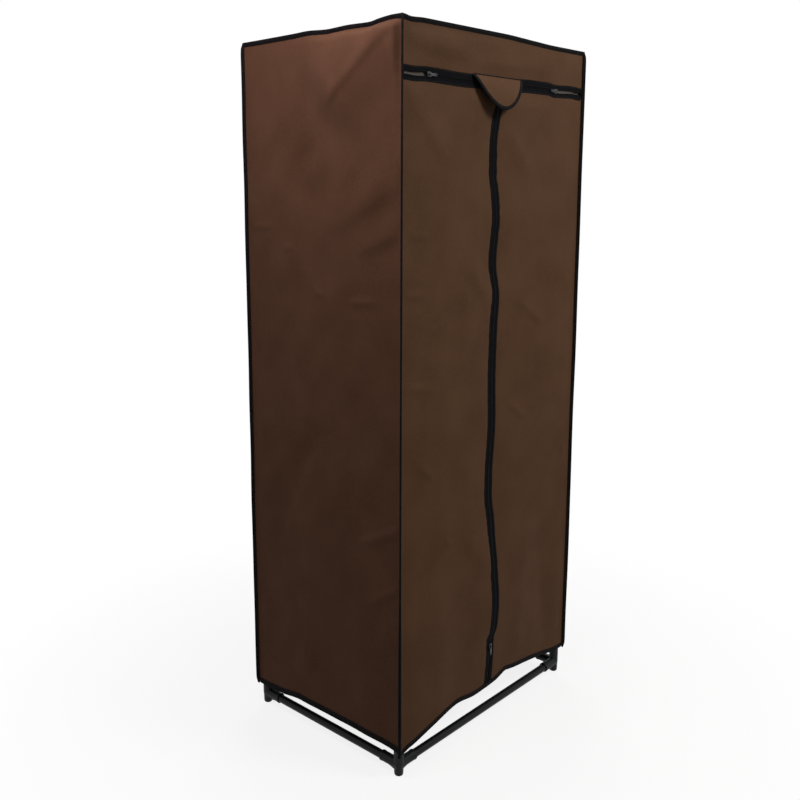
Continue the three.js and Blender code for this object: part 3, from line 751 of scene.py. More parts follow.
def place(piece: Object, finish: Finish, body: str, *nodes: str,
          bend: tuple[float, float] | None = None) -> Object:
    """Dresses a piece and, unless a bend is given, sets it on its body.

    Args:
        piece: the finished piece.
        finish: its surface.
        body: the body that it moves with.
        nodes: the CAD nodes that it stands for.
        bend: for a piece that reaches over from the cover, where along X it is to start to move
        with the body and to move with it fully; this bend is not made: the piece's place is
        only baked into its mesh, and the piece is not set on the body.

    Returns:
        The piece.
    """
    piece.data.materials.clear()
    piece.data.materials.append(finish.material())
    if bend:
        start, end = (Vector((x * MM, 0, 0)) for x in bend)
        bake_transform(piece)
        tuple(start)
        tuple(end)
    else:
        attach(piece, str(body))
    if nodes:
        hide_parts(*nodes)
    log.info("%s moves with %s", piece.name, body)
    return piece


# What repeats along a path


@dataclass(frozen=True)
class Run(ABC):
    """Something that Geometry Nodes draw along a path or repeat on it."""

    @property
    @abstractmethod
    def finish(self) -> Finish:
        """The surface of what is made."""

    @abstractmethod
    def inputs(self) -> dict[str, Any]:
        """The tree's named inputs, with sizes in metres."""

    @abstractmethod
    def shape(self, node: AddNode, given: bpy.types.NodeOutputs) -> Node:
        """Adds the nodes that make the shape from the given inputs, and gives the last one."""

    @cache
    def tree(self) -> bpy.types.NodeTree:
        """Makes the tree once, so that it ends in one plain mesh of one material.

        Returns:
            The tree.
        """
        tree = bpy.data.node_groups.new(type(self).__name__, "GeometryNodeTree")
        kinds = {float: "NodeSocketFloat", int: "NodeSocketInt", tuple: "NodeSocketVector"}
        sockets = tree.interface
        sockets.new_socket("Geometry", in_out="INPUT", socket_type="NodeSocketGeometry")
        for name, value in self.inputs().items():
            kind = kinds[type(value)]
            sockets.new_socket(name, in_out="INPUT", socket_type=kind).default_value = value
        sockets.new_socket("Geometry", in_out="OUTPUT", socket_type="NodeSocketGeometry")
        node = partial(add_node, tree)
        made = self.shape(node, node("NodeGroupInput").outputs)
        real = node("GeometryNodeRealizeInstances", {"Geometry": made})
        even = node("GeometryNodeSetShadeSmooth", {"Geometry": real})
        dressed = node("GeometryNodeSetMaterial", {
            "Geometry": even, "Material": self.finish.material()})
        node("NodeGroupOutput", {"Geometry": dressed})
        return tree

    def along(self, name: str, paths: Iterable[Array], **changed: Any) -> Object:
        """Runs the tree along paths and keeps the result as a plain mesh.

        Args:
            name: the piece's name.
            paths: lines of points in millimetres.
            changed: the named inputs that differ from the usual ones.

        Returns:
            The piece.
        """
        curve = bpy.data.curves.new(f"{name}_path", "CURVE")
        curve.dimensions = "3D"
        for path in paths:
            spline = curve.splines.new("POLY")
            spline.points.add(len(path) - 1)
            co = np.column_stack([path * MM, np.ones(len(path))])
            spline.points.foreach_set("co", co.astype(np.float32).ravel())
        holder = bpy.data.objects.new(f"{name}_path", curve)
        bpy.context.scene.collection.objects.link(holder)
        run = holder.modifiers.new("run", "NODES")
        run.node_group = self.tree()
        values = self.inputs() | changed
        for item in run.node_group.interface.items_tree:
            if item.in_out == "INPUT" and item.name in values:
                run[item.identifier] = values[item.name]
        mesh = applied(holder, name)
        bpy.data.curves.remove(curve)
        return link(name, mesh)


@dataclass(frozen=True)
class Stitching(Run):
    """A row of machine stitches, each a short grain of thread sunk into the tape."""

    finish: Finish = THREAD
    pitch: float = 4.2
    length: float = 3.2
    radius: float = 0.34
    unevenness: float = 0.12

    def inputs(self) -> dict[str, Any]:
        """The sizes of a stitch, and the seed of its unevenness."""
        return {"Pitch": self.pitch * MM, "Length": self.length * MM, "Radius": self.radius * MM,
                "Unevenness": self.unevenness, "Seed": 7}

    def shape(self, node: AddNode, given: bpy.types.NodeOutputs) -> Node:
        """Lays stitches along the path.

        Args:
            node: adds a node to the tree.
            given: the tree's inputs.

        Returns:
            The stitches.
        """
        spots = node("GeometryNodeCurveToPoints", {
            "Curve": given["Geometry"], "Length": given["Pitch"]}, mode="LENGTH").outputs
        ball = node("GeometryNodeMeshUVSphere", {"Segments": 6, "Rings": 4, "Radius": 1.0})
        half = node("ShaderNodeMath", {0: given["Length"], 1: 0.5}, operation="MULTIPLY")
        size = node("ShaderNodeCombineXYZ", {0: given["Radius"], 1: given["Radius"], 2: half})
        grain = node("GeometryNodeTransform", {"Geometry": ball, "Scale": size})
        low = node("ShaderNodeMath", {0: 1.0, 1: given["Unevenness"]}, operation="SUBTRACT")
        uneven = node("FunctionNodeRandomValue", {2: low, 3: 1.0, "Seed": given["Seed"]},
                      data_type="FLOAT")
        return node("GeometryNodeInstanceOnPoints", {
            "Points": spots["Points"], "Instance": grain, "Rotation": spots["Rotation"],
            "Scale": uneven})


@dataclass(frozen=True)
class Coil(Run):
    """The loops of a nylon zip coil, seen from outside as short rounded bars."""

    finish: Finish = COIL
    pitch: float = 1.6
    length: float = 3.45
    radius: float = 0.42
    sides: int = 8

    def inputs(self) -> dict[str, Any]:
        """The sizes of a bar, and the way it lies."""
        return {"Pitch": self.pitch * MM, "Length": self.length * MM, "Radius": self.radius * MM,
                "Sides": self.sides, "Across": (1, 0, 0)}

    def shape(self, node: AddNode, given: bpy.types.NodeOutputs) -> Node:
        """Sets a bar across the path, over and over.

        Args:
            node: adds a node to the tree.
            given: the tree's inputs.

        Returns:
            The bars.
        """
        spots = node("GeometryNodeCurveToPoints", {
            "Curve": given["Geometry"], "Length": given["Pitch"]}, mode="LENGTH").outputs
        bar = node("GeometryNodeMeshCylinder", {
            "Vertices": given["Sides"], "Radius": given["Radius"], "Depth": given["Length"]})
        turn = node("FunctionNodeAlignRotationToVector", {"Vector": given["Across"]}, axis="Z")
        return node("GeometryNodeInstanceOnPoints", {
            "Points": spots["Points"], "Instance": bar, "Rotation": turn})


@dataclass(frozen=True)
class RoundTube(Run):
    """Round steel tube drawn along a line."""

    finish: Finish = STEEL
    radius: float = 9.5
    sides: int = 40

    def inputs(self) -> dict[str, Any]:
        """The tube's radius, and how many sides it is drawn with."""
        return {"Radius": self.radius * MM, "Sides": self.sides}

    def shape(self, node: AddNode, given: bpy.types.NodeOutputs) -> Node:
        """Draws a closed round along the path.

        Args:
            node: adds a node to the tree.
            given: the tree's inputs.

        Returns:
            The tube.
        """
        ring = node("GeometryNodeCurvePrimitiveCircle", {
            "Resolution": given["Sides"], "Radius": given["Radius"]})
        return node("GeometryNodeCurveToMesh", {
            "Curve": given["Geometry"], "Profile Curve": ring, "Fill Caps": True})


STITCHES = Stitching()
COILS = Coil()


def sewn(name: str, rows: Iterable[Array], body: str) -> Object:
    """Rows of machine stitches, on their body."""
    return place(STITCHES.along(name, rows), THREAD, body)


# The cover

# How far a panel's edge stops short of its hem's fold, and of the seam at its top.
HEM_LAP, TOP_LAP = 1.2, 1.5
# Where a hem's stitches lie above the tape's edge, and how far they stand out of the cloth.
HEM_SEWN, HEM_STAND = 2.2, 1.72
# How far apart the points along a seam lie, and how far stitches stand out of folded tape.
SEAM_STEP = 8
SEWN_STAND = 0.02


@dataclass(frozen=True)
class Seams:
    """Where the cover's walls, seams and hems lie, as the hung cloth settles."""

    half_width: float = 325
    half_depth: float = 235
    height: float = 1594
    setback: float = 0
    # How far a panel's side edge stands out in its seam, and where it bends to do so.
    lip: float = 4.4
    lip_bend: float = 0.81
    # Half the space between the legs of the binding, and half its whole thickness.
    inner: float = 1.3
    outer: float = 2.1
    # Along each wall: the seam at its top above the height, and its hem above the floor.
    top_left: Table = ((-235, 2), (-216, 2), (-178, -1), (-150, -5), (-93, -4), (-33, -6), (29, -3),
                       (61, -4), (127, -5), (235, -6))
    top_front: Table = ((-325, 2), (-302, -1), (-260, 1), (-106, 1), (2, 1), (118, -2), (201, -4),
                        (325, -4))
    top_right: Table = ((-235, -4), (-120, -2), (-20, -5), (60, -3), (150, -5), (235, -5))
    top_back: Table = ((-325, -6), (-200, -3), (-60, -5), (90, -2), (220, -5), (325, -5))
    hem_left: Table = ((-235, 62), (-207, 64), (-118, 66), (-24, 67), (77, 67), (147, 58),
                       (235, 52))
    hem_right: Table = ((-235, 69), (-130, 66), (10, 65), (90, 66), (150, 59), (235, 53))
    hem_front: Table = ((-325, 55), (-293, 64), (-227, 80), (-158, 93), (-123, 96), (-49, 88),
                        (-10, 89), (29, 92), (60, 100.5), (69, 103), (80, 101), (110, 96),
                        (197, 85), (300, 69), (325, 68))
    hem_back: Table = ((-325, 53), (-120, 56), (60, 52), (190, 56), (325, 53))

    def half(self, wall: Wall) -> float:
        """Half the wall's span between its seams."""
        return self.half_depth if wall.sideways else self.half_width

    def hem(self, wall: Wall, along: Array | float) -> Array:
        """The height of a wall's lower edge."""
        return through(getattr(self, f"hem_{wall}"), along)

    def top(self, wall: Wall, along: Array | float) -> Array:
        """The height of the seam at the top of a wall."""
        return self.height + through(getattr(self, f"top_{wall}"), along)

    def point(self, wall: Wall, along: Array, out: Array | float, height: Array) -> Array:
        """Points on a wall, lifted out of it.

        Args:
            wall: the wall.
            along: how far across it each point lies.
            out: how far out of it each stands.
            height: how high each lies.

        Returns:
            The points.
        """
        plane = self.half_width if wall.sideways else self.half_depth
        face = wall.sign * (plane + np.asarray(out))
        x, y = (face, along) if wall.sideways else (along, face)
        return np.stack(np.broadcast_arrays(x, y + self.setback, height), axis=-1)

    def outward(self, wall: Wall) -> Array:
        """The way a wall faces."""
        return np.array([wall.sign, 0, 0] if wall.sideways else [0, wall.sign, 0])

    def lipped(self, wall: Wall, inner: Array) -> tuple[Array, Array]:
        """Adds the places in a wall's side seams to those across it.

        Args:
            wall: the wall.
            inner: the places across it.

        Returns:
            All the places, and how far each stands out in its seam.
        """
        bend = self.half(wall) - self.lip_bend
        ends = bend + self.lip * np.array([1, 0.5])
        along = np.concatenate([-ends, inner, ends[::-1]])
        return along, np.maximum(np.abs(along) - bend, 0)

    def sheet(self, name: str, wall: Wall, along: Array, out: Array, height: Array,
              flat: Array | None = None, thickness: float = CLOTH_THICK) -> Object:
        """A sheet of cloth on a wall.

        Args:
            name: the piece's name.
            wall: the wall it lies on.
            along: how far across the wall each point lies.
            out: how far out of the wall it stands.
            height: how high it lies.
            flat: how far across the flat cloth it lies, where the cloth is pushed aside.
            thickness: how thick the cloth is.

        Returns:
            The piece.
        """
        middle = self.point(wall, along, out, height)
        across = along if flat is None else flat
        grid = [np.broadcast_to(v, middle.shape[:2]) for v in (across, height)]
        return cloth(name, middle, self.outward(wall), np.stack(grid, axis=-1), thickness)


def folded_section(inner: float, outer: float, start: float, width: float, steps: int = 8) -> Array:
    """The outline of tape folded over an edge: two legs and a round fold.

    Args:
        inner: half the space between the legs.
        outer: half the whole thickness.
        start: where the legs begin.
        width: how far the fold lies from there.
        steps: faces round the fold.

    Returns:
        Points of the outline, thickness first.
    """
    turn = np.linspace(0, math.pi, steps + 1)
    middle = start + width - outer
    fold = np.stack([outer * np.cos(turn), middle + outer * np.sin(turn)], axis=-1)
    inside = np.stack([-inner * np.cos(turn[::2]), middle + inner * np.sin(turn[::2])], axis=-1)
    bevel = (outer - inner) * 0.3
    right = [(outer - bevel, start), (outer, start + bevel)]
    left = [(-outer, start + bevel), (-outer + bevel, start), (-inner, start)]
    return np.concatenate([right, fold, left, inside, [(inner, start)]])


def folded_tape(name: str, path: Array, thick: Array, wide: Array, section: Array,
                ring: bool = False, reach: Array | float = 1.0) -> Object:
    """Folded tape along a path.

    Args:
        name: the piece's name.
        path: the edge that it is folded over.
        thick: the way across the tape's legs, at each station.
        wide: the way from the legs to the fold, at each station.
        section: the outline from folded_section.
        ring: whether the tape closes on itself.
        reach: the share of its width that the tape keeps, at each station.

    Returns:
        The piece.
    """
    run = np.concatenate([[0], np.cumsum(np.linalg.norm(np.diff(path, axis=0), axis=1))])
    pucker = 1 + 0.07 * np.sin(run / 4.1) * np.sin(run / 17) + 0.04 * np.sin(run / 47)
    a = np.broadcast_to(thick, path.shape)[:, None] * pucker[:, None, None]
    b = (np.broadcast_to(wide, path.shape) * np.reshape(reach, (-1, 1)))[:, None]
    points = path[:, None] + a * section[None, :, :1] + b * section[None, :, 1:]
    return loft(name, points, run, ring)


def hem_tape(name: str, path: Array, outward: Array, width: float) -> Object:
    """Tape folded over a hem from above."""
    return folded_tape(name, path, outward, -UP, folded_section(0.6, 1.7, 0, width))


@dataclass
class Wallcloth:
    """One upright wall of the cover: its cloth, the binding of its hem and their stitches."""

    seams: Seams
    wall: Wall
    creases: Sequence[Crease]
    seed: int
    cell: float = 6
    # How far the slack cloth billows out, and the length of its billows and of its small waves.
    billow: float = 2.6
    wave: float = 330
    small_wave: float = 90
    # Where the cloth hangs free: this far from its side seams, and below its top one.
    free_beside: float = 42
    free_below: float = 46
    # The sewn edge puckers this much, once in about so many millimetres over two pi.
    pucker: float = 0.35
    pucker_pitch: float = 3.6
    hem_width: float = 15
    # How far the hem's tape ends short of the corner, and the seams take up of the flat cloth.
    hem_short: float = 3.6
    side_allowance: float = 5.4
    end_allowance: float = 10

    def lift(self, along: Array, height: Array) -> Array:
        """How far the cloth stands out of the wall's plane.

        Args:
            along: places across it.
            height: places up it.

        Returns:
            The distance at each place.
        """
        edge = self.seams.half(self.wall) - np.abs(along)
        below = self.seams.top(self.wall, along) - height
        held = smooth(0, self.free_beside, edge) * smooth(0, self.free_below, below)
        slack = self.billow * (0.75 + ripple(along, height * 0.6, self.wave, self.seed))
        slack = slack + 0.7 * ripple(along, height, self.small_wave, self.seed + 1)
        free = sum((c.height(along, height) for c in self.creases), slack * held)
        near = smooth(0, 14, edge) * smooth(0, 16, below)
        pucker = self.pucker * np.sin(height / self.pucker_pitch + 2 * np.sin(height / 31))
        pucker = pucker * np.exp(-edge / 9) * smooth(1.5, 5, edge) * smooth(2, 8, below)
        # It can't sink in past the posts and rails, but can between them.
        room = -1.0 - 7.0 * smooth(34, 70, edge) * smooth(60, 110, below)
        return np.maximum(free * near, room) + pucker

    def columns(self) -> tuple[Array, Array]:
        """Spreads columns of points over the wall, closer beside the seams.

        Returns:
            Their places across the wall, and how far each stands out in the seams.
        """
        bend = self.seams.half(self.wall) - self.seams.lip_bend
        close = bend - np.array([0, 2.5, 5, 8, 12])
        reach = bend - 16
        inner = np.linspace(-reach, reach, round(2 * reach / self.cell) + 1)
        return self.seams.lipped(self.wall, np.concatenate([-close, inner, close[::-1]]))

    def shares(self, tall: float) -> Array:
        """Spreads rows of points up the wall, closer at the hem and the top.

        Args:
            tall: the cloth's usual height.

        Returns:
            Their places, as shares of the height.
        """
        even = np.linspace(16 / tall, 1 - 16 / tall, round(tall / self.cell))
        low, high = np.array([0, 3, 6.5, 11]) / tall, np.array([11, 6, 2.5, 0]) / tall
        return np.concatenate([low, even, 1 - high])

    def build(self) -> None:
        seams, wall = self.seams, self.wall
        along, lips = self.columns()
        low, high = seams.hem(wall, along) + HEM_LAP, seams.top(wall, along) - TOP_LAP
        height = low + (high - low) * self.shares(float(np.mean(high - low)))[:, None]
        out = np.where(lips > 0, lips, self.lift(np.clip(along, along[2], along[-3]), height))
        sheet = seams.sheet(f"{wall}_wall_cloth", wall, along, out, height)
        place(sheet, CLOTH, Body.FRAME, f"cover_{wall}_panel")

        inner = seams.half(wall) - self.hem_short
        stations = np.linspace(-inner, inner, round(2 * inner / SEAM_STEP))
        edge = seams.hem(wall, stations)
        lifted = self.lift(stations, edge + 4)
        top = edge + self.hem_width
        path = seams.point(wall, stations, lifted, top)
        hem = hem_tape(f"{wall}_hem_tape", path, seams.outward(wall), self.hem_width)
        place(hem, TAPE, Body.FRAME, f"hem_binding_{wall}")
        rows = [seams.point(wall, stations, lifted + stand, top - HEM_SEWN)
                for stand in (-HEM_STAND, HEM_STAND)]
        thread = sewn(f"{wall}_hem_stitches", rows, Body.FRAME)
        wide = 2 * (seams.half(wall) + self.side_allowance)


@dataclass
class CornerTapes:
    """The tapes that stand out of the four upright seams."""

    seams: Seams
    width: float = 8.5
    start: float = 1
    plump: float = 0.4
    sewn_at: float = 3.4
    # How far the tapes wave, and over what length.
    sway: float = 0.9
    wave: float = 260
    # The front left tape is pushed in at one place: its height, reach and depth.
    dent: tuple[float, float, float] = (591, 11, 1.1)
    # Between these heights the tape goes from slack and thick to pulled thin.
    slack: tuple[float, float] = (260, 460)
    # How far from its ends the tape is pinched.
    pinched: float = 14
    stations: int = 150

    def build(self) -> None:
        """Makes the four tapes with their stitches."""
        seams = self.seams
        outer = seams.outer + self.plump
        section = folded_section(seams.inner, outer, self.start, self.width)
        for wall, side in product((Wall.FRONT, Wall.BACK), Side):
            x, y = side.value, wall.sign
            corner = x * seams.half_width
            bottom = float(seams.hem(wall, corner)) - 1
            top = float(seams.top(wall, corner)) + 4.5
            height = np.linspace(bottom, top, self.stations)
            sway = self.sway * ripple(height, height * 0, self.wave, 40 + x + 2 * y)
            sway = sway * smooth(0, 60, top - height)
            if (wall, side) == (Wall.FRONT, Side.LEFT):
                at, reach, depth = self.dent
                sway = sway - depth * np.exp(-(((height - at) / reach) ** 2))
            wide, deep = corner + x * sway * 0.5, y * (seams.half_depth + sway * 0.5)
            path = np.stack([wide, deep + seams.setback, height], axis=-1)
            outward = np.array([x * DIAGONAL, y * DIAGONAL, 0])
            # Pulled thin where the cloth hangs from it, and slack and thick near the floor.
            swell = 0.82 + 0.5 * (1 - smooth(*self.slack, height))
            across = np.array([-x * DIAGONAL, y * DIAGONAL, 0]) * swell[:, None]
            end = np.minimum(top - height, height - bottom)
            reach = 1 - 0.45 * (1 - smooth(0, self.pinched, end))
            tape = folded_tape(f"corner_tape_{wall}_{side.word}", path, across, outward, section,
                               reach=reach)
            place(tape, TAPE, Body.FRAME, f"corner_binding_{wall}_{side.word}")
            rows = [path + across * face * (outer + SEWN_STAND) + outward * self.sewn_at
                    for face in (-1, 1)]
            sewn(f"corner_stitches_{wall}_{side.word}", rows, Body.FRAME)


@dataclass
class Roof:
    """The top of the cover and the tape that stands out round it."""

    seams: Seams
    width: float = 9.5
    start: float = -2.5
    # How far the tape leans out of the upright, in degrees.
    lean: float = 20
    sewn_at: float = 3.6
    cell: float = 9
    # How far the stretched cloth sags in its middle, and how far its gentle waves are apart.
    sag: float = 5
    wave: float = 120
    seed: int = 5
    # How much of the flat cloth each seam takes up.
    allowance: float = 6.2

    def ring(self) -> tuple[Array, Array]:
        """Follows the seam round the top.

        Returns:
            Its points, and the way out of it at each.
        """
        seams = self.seams
        points, ways = [], []
        for wall, way in ((Wall.FRONT, 1), (Wall.RIGHT, 1), (Wall.BACK, -1), (Wall.LEFT, -1)):
            end = way * seams.half(wall)
            along = np.linspace(-end, end, round(2 * abs(end) / SEAM_STEP) + 1)[:-1]
            spot = seams.point(wall, along, 0, seams.top(wall, along))
            side = np.tile(seams.outward(wall) * 1.0, (len(along), 1))
            side[0, :2] = np.sign(spot[0, :2] - [0, seams.setback])
            points.append(spot)
            ways.append(side)
        return np.concatenate(points), np.concatenate(ways)

    def spread(self, half: float) -> Array:
        """Spreads points from side to side, closer near the seams, with the lips beyond.

        Args:
            half: half the span between the seams.

        Returns:
            Their places.
        """
        close = np.array([0, 2, 5, 9, 14])
        inner = np.linspace(-half + 20, half - 20, round(2 * (half - 20) / self.cell) + 1)
        lips = np.array([half + self.seams.lip, half + self.seams.lip / 2])
        return np.concatenate([-lips, -half + close, inner, (half - close)[::-1], lips[::-1]])

    def build(self) -> None:
        seams = self.seams
        path, way = self.ring()
        rise, out = math.cos(math.radians(self.lean)), math.sin(math.radians(self.lean))
        section = folded_section(seams.inner, seams.outer, self.start, self.width)
        tape = folded_tape("top_ring_tape", path, way * rise - UP * out, way * out + UP * rise,
                           section, ring=True)
        place(tape, TAPE, Body.FRAME, "top_binding")
        path, way = (np.concatenate([v, v[:1]]) for v in (path, way))
        rows = [path + (way * rise - UP * out) * face * (seams.outer + SEWN_STAND)
                + (way * out + UP * rise) * self.sewn_at for face in (-1, 1)]
        thread = sewn("top_ring_stitches", rows, Body.FRAME)

        w, d = seams.half_width, seams.half_depth
        x, y = np.meshgrid(self.spread(w), self.spread(d))
        turned = np.maximum(np.maximum(np.abs(x) - w, np.abs(y) - d), 0)
        inside = np.minimum(w - np.abs(x), d - np.abs(y))
        cx, cy = np.clip(x, -w, w), np.clip(y, -d, d)
        x, y = cx + np.sign(x - cx) * turned * out, cy + np.sign(y - cy) * turned * out
        near = np.exp(-np.array([d + cy, d - cy, w + cx, w - cx]) / 6)
        edges = [seams.top(Wall.FRONT, cx), seams.top(Wall.BACK, cx), seams.top(Wall.LEFT, cy),
                 seams.top(Wall.RIGHT, cy)]
        edge = (near * np.array(edges)).sum(0) / near.sum(0)
        waves = 0.5 * ripple(x, y, self.wave, self.seed)
        level = seams.height + 0.6 + waves - self.sag * smooth(30, 170, inside)
        z = edge + (level - edge) * smooth(0, 10, inside) + turned * rise
        middle = np.stack([x, y + seams.setback, z], axis=-1)
        sheet = cloth("roof_cloth", middle, UP, np.stack([x, y], axis=-1))
        place(sheet, CLOTH, Body.FRAME, "cover_top_panel")


# The front: header, doors, flap and zips

# How far a panel reaches under its zip tape, and the rows that sew the tape down: how far each
# lies from the tape's edge, and how far they stand out of the front.
TUCK = 3.5
ZIP_ROWS = (1.6, 3.0)
ZIP_STAND = 0.85


def tucked(depth: Array) -> Array:
    """How far a panel dips behind its zip tape, this far from its cut edge."""
    return -0.85 * (1 - smooth(1.5, 6, depth))


class Teeth(Enum):
    """How a zip's loops lie: their bars' length, how far out they stand, how far off the line.

    On a closed zip each row reaches over the middle, between the bars of the other row. Where a
    slider stops, the rows keep room for its post. Open rows lie that far from their tape's edge.
    """

    CLOSED = (3.45, 0.4, 1.175)
    AT_STOPS = (2.1, 0, 1.85)
    OPEN = (2.2, 0.4, 0.4)

    def row(self, name: str, spans: Sequence[tuple[float, float]], edge: Callable[[Array], Array],
            line: Callable[[Array, Array, float], Array], across: tuple[int, int, int]) -> Object:
        """A row of loops over parts of a zip.

        Args:
            name: the piece's name.
            spans: where each part of the row starts and ends along the zip.
            edge: how far from the zip's line its tape's edge lies, at places along it.
            line: points beside the zip, from a place along it, how far off it and how far out.
            across: the way that the bars lie.

        Returns:
            The piece, with no finish yet.
        """
        length, stand, off = self.value
        paths = []
        for span in spans:
            at = evened((*span, 4))
            paths.append(line(at, off + (edge(at) if self is Teeth.OPEN else 0), stand))
        return COILS.along(name, paths, Across=across, Length=length * MM)


@dataclass(frozen=True)
class ZipLines:
    """Where the three zips run on the front, as the slack cloth lets them wave."""

    height: float = 1497
    band: float = 14.4
    edge: float = 0.6
    # Sliders stop this far from the middle and below the upper zips, under the flap.
    parking: float = 44
    # The header's tape lies flat this far from the middle, behind the root of the flap.
    under_flap: float = 112
    # How far from its line an open zip's tape lies, beside its slider and at its end.
    middle_gap: tuple[float, float] = (3.6, 3.2)
    upper_gap: tuple[float, float] = (5.0, 3.0)
    slider_half: float = 6.5
    # From a slider's middle: how far its channel reaches to the open and the closed side, and
    # where the open and the closed loops start.
    channel: tuple[float, float] = (6.4, 5.6)
    open_from: float = 8
    closed_from: float = 7
    # Between the closed loops and those that leave room for a slider's post.
    loop_gap: float = 1.6
    # Beside a slider, where the tapes part, their points lie this close over this length.
    close_step: float = 1.2
    close_span: float = 18
    # From the middle of the front: where the doors' tapes end, and the last things behind them.
    tape_end: float = 321.0
    last_loop: float = 316
    last_stitch: float = 312
    centre_slider: float = 192
    upper_sliders: tuple[float, float] = (-246, 210)
    # Height on the front: how far the middle zip sways across, and stands out.
    sway: Table = ((60, -6, -1), (88, -8, -1), (116, -5, 0), (144, -2, 0), (178, 0, 0), (206, 0, 0),
                   (236, 8, 4), (293, 11, 6), (387, 6, 3), (450, 0, 0), (512, -6, -2),
                   (574, -13, -5), (631, -13, -5), (687, -10, -4), (743, -8, -3), (856, -10, -4),
                   (966, -9, -3),
                   (1033, -5, -2), (1114, -14, -6), (1180, -9, -4), (1206, -7, -3), (1258, -11, -4),
                   (1310, -17, -7), (1361, -17, -7), (1412, -14, -5), (1445, -8, -2), (1465, 0, 0),
                   (1500, 0, 0))
    rise: Table = ((-322, -1), (-290, -2), (-252, 0), (-240, 0), (-140, -2), (-34, 0), (34, 0),
                   (110, 3), (180, 3), (204, 0), (216, 0), (280, 2), (322, 0))

    def across(self, height: Array) -> Array:
        """How far the middle zip lies to the right of the middle."""
        return through([(z, x) for z, x, _ in self.sway], height)

    def out(self, height: Array) -> Array:
        """How far the middle zip stands out of the front."""
        return through([(z, o) for z, _, o in self.sway], height)

    def level(self, along: Array) -> Array:
        """The height of the upper zips."""
        return self.height + through(self.rise, along)

    def middle_edge(self, height: Array) -> Array:
        """How far from the middle zip's line the inner edges of its tapes lie."""
        return self.opened(self.centre_slider - self.slider_half - height, self.middle_gap)

    def upper_edge(self, along: Array) -> Array:
        """How far from the upper zips' line the edges of their tapes lie.

        Args:
            along: places across the front.

        Returns:
            The distance at each place.
        """
        left, right = self.upper_sliders
        past = np.maximum(left - self.slider_half - along, along - right - self.slider_half)
        return self.opened(past, self.upper_gap)

    def opened(self, past: Array, gap: tuple[float, float]) -> Array:
        """How far a tape's edge lies from its line, this far past the slider."""
        wide = gap[0] + (gap[1] - gap[0]) * np.clip(past / 90, 0, 1)
        return self.edge + (wide - self.edge) * smooth(0, 8, past)

    def facing(self) -> tuple[Array, Array]:
        """A facing strip's rows of points: how far off the zip's line, and out of the front."""
        off = np.array([12.5, 10, 8, 6, 2, -2, -5, -8])
        return off, -0.95 - 2.4 * smooth(-12.5, -7, -off)


